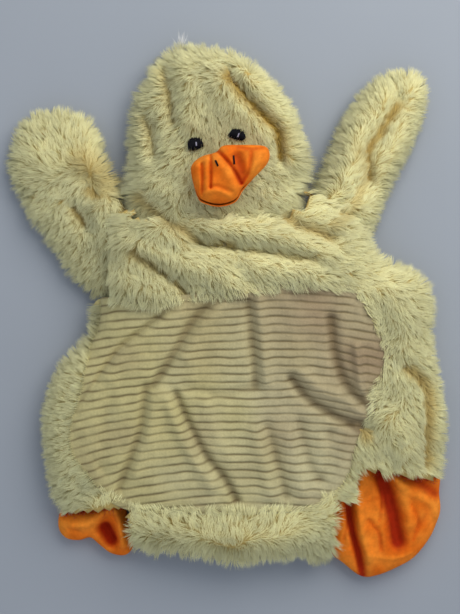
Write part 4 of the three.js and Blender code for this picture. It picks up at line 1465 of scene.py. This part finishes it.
def placed(line, x, y, tilt, level):
    c, s = math.cos(math.radians(tilt)), math.sin(math.radians(tilt))
    turned = line @ np.array([[c, s, 0], [-s, c, 0], [0, 0, 1]])
    return turned + [x, y, level]


EYES = {
    "right": dict(x=-25.0, y=128.0, tilt=4, wide=11.8, tall=9.8, lean=0.0),
    "left": dict(x=7.8, y=135.2, tilt=-24, wide=12.4, tall=8.6, lean=0.12),
}
EYE_LEVEL = 35.6
EYE_ARCH = 2.0
rng = np.random.default_rng(5)
for side, eye in EYES.items():
    lines = []
    for k, across in enumerate(np.linspace(-0.98, 0.98, 31)):
        half = eye["wide"] / 2
        round_off = math.sqrt(max(0, 1 - across ** 2))
        top = eye["tall"] * (0.54 * round_off ** 0.75) + rng.uniform(-0.5, 0.9)
        bottom = -eye["tall"] * (0.2 + 0.2 * round_off - 0.12 * across) + rng.uniform(-0.5, 0.4)
        t = np.linspace(0, 1, 9)
        y = bottom + (top - bottom) * t
        x = across * half + eye["lean"] * y + rng.normal(0, 0.25) * (2 * t - 1)
        x = x + rng.normal(0, 0.05, 9)
        z = EYE_ARCH * (0.35 + 0.65 * round_off) * np.sin(math.pi * t) ** 0.6 + 0.12 * (k % 2)
        lines.append(placed(np.stack([x, y, z], -1), eye["x"], eye["y"], eye["tilt"], EYE_LEVEL))
    stitches(f"eye_{side}_stitches", lines, 0.62, thread, "head", f"eye_{side}")
    lines = []
    for across in np.linspace(-0.25, 0.25, 2):
        t = np.linspace(-1, 1, 5)
        y = 0.3 + 1.6 * t * math.sqrt(1 - across ** 2)
        z = EYE_ARCH + 0.35 - 0.25 * t ** 2
        x = 0.7 + across + 0 * t
        lines.append(placed(np.stack([x, y, z], -1), eye["x"], eye["y"], eye["tilt"], EYE_LEVEL))
    stitches(f"eye_glint_{side}", lines, 0.34, painted_glint_thread, "head",
             f"eye_highlight_{side}")

NOSTRILS = {"right": (-8.1, 110.1, 24, 5.6), "left": (5.0, 113.2, 5, 8.0)}
for side, (x, y, tilt, long) in NOSTRILS.items():
    lines = []
    for off in (-0.35, 0.35):
        t = np.linspace(-0.5, 0.5, 9)
        line = placed(np.stack([off + 0 * t, t * long, 0 * t], -1), x, y, tilt, 0)
        line[:, 2] = upper_bag.top(line[:, 0], line[:, 1]) + 0.55 - 3 * np.abs(t) ** 4 * 8
        lines.append(line)
    stitches(f"nostril_{side}_stitches", lines, 0.8, thread, "upper_beak", f"nostril_{side}")

# %% Crown wisps
rng = np.random.default_rng(8)
count = 26
roots = np.stack([rng.normal(-36, 1.3, count), rng.normal(206, 1.0, count),
                  rng.uniform(12, 18, count)], -1)
first = unit(np.stack([rng.normal(-0.15, 0.25, count), np.ones(count),
                       rng.normal(0.35, 0.2, count)], -1))
last = unit(first + rng.normal(0, 0.35, (count, 3)) + [0.1, 0, 0])
white = np.tile(np.array(linear("#FAFAF6")[:3]), (count, 1))
wisps = strands("crown_wisp_fibres", roots, first, last, rng.uniform(8, 19, count),
                np.full(count, 0.16), white, white * 0.99, fibre)
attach(wisps, "head")
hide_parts("crown_wisps")

# %% [markdown]
# A plain pale floor, one large soft key light from the upper right, and an even cool sky.

# %% Floor and light
floor_mesh = bpy.data.meshes.new("floor")
bm = bmesh.new()
bmesh.ops.create_grid(bm, x_segments=1, y_segments=1, size=2)
bm.to_mesh(floor_mesh)
bm.free()
floor_finish, tree, shader = material("pale_cloth_floor", Roughness=0.9, IOR=1.5)
place = node(tree, "ShaderNodeTexCoord")
mottle = node(tree, "ShaderNodeTexNoise", {
    "Vector": place.outputs["Object"], "Scale": 4, "Detail": 3,
})
shade = node(tree, "ShaderNodeMix", {
    "Factor": mottle.outputs["Fac"], 6: linear("#979EA8"), 7: linear("#A3AAB3"),
}, data_type="RGBA")
tree.links.new(shade.outputs[2], shader.inputs["Base Color"])
floor = link("floor", floor_mesh, floor_finish)
floor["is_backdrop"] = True

world = bpy.data.worlds.new("studio")
bpy.context.scene.world = world
world.use_nodes = True
sky = world.node_tree.nodes["Background"]
sky.inputs["Color"].default_value = linear("#E6ECF6")
sky.inputs["Strength"].default_value = 0.6

light_data = bpy.data.lights.new("key", "AREA")
light_data.size = 0.9
light_data.energy = 8
light_data.color = linear("#FFFAF0")[:3]
key = bpy.data.objects.new("key", light_data)
key.location = (0.42, 0.6, 0.72)
key.rotation_euler = (-key.location).to_track_quat("-Z", "Y").to_euler()
bpy.context.scene.collection.objects.link(key)

# %% Sizes, and the end
low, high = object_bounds()
{"cad": [list(cad_low), list(cad_high)], "visual": [list(low), list(high)]}
print("grown by", [round((a - b) / MM, 1) for a, b in zip(high, cad_high)],
      [round((b - a) / MM, 1) for a, b in zip(low, cad_low)])
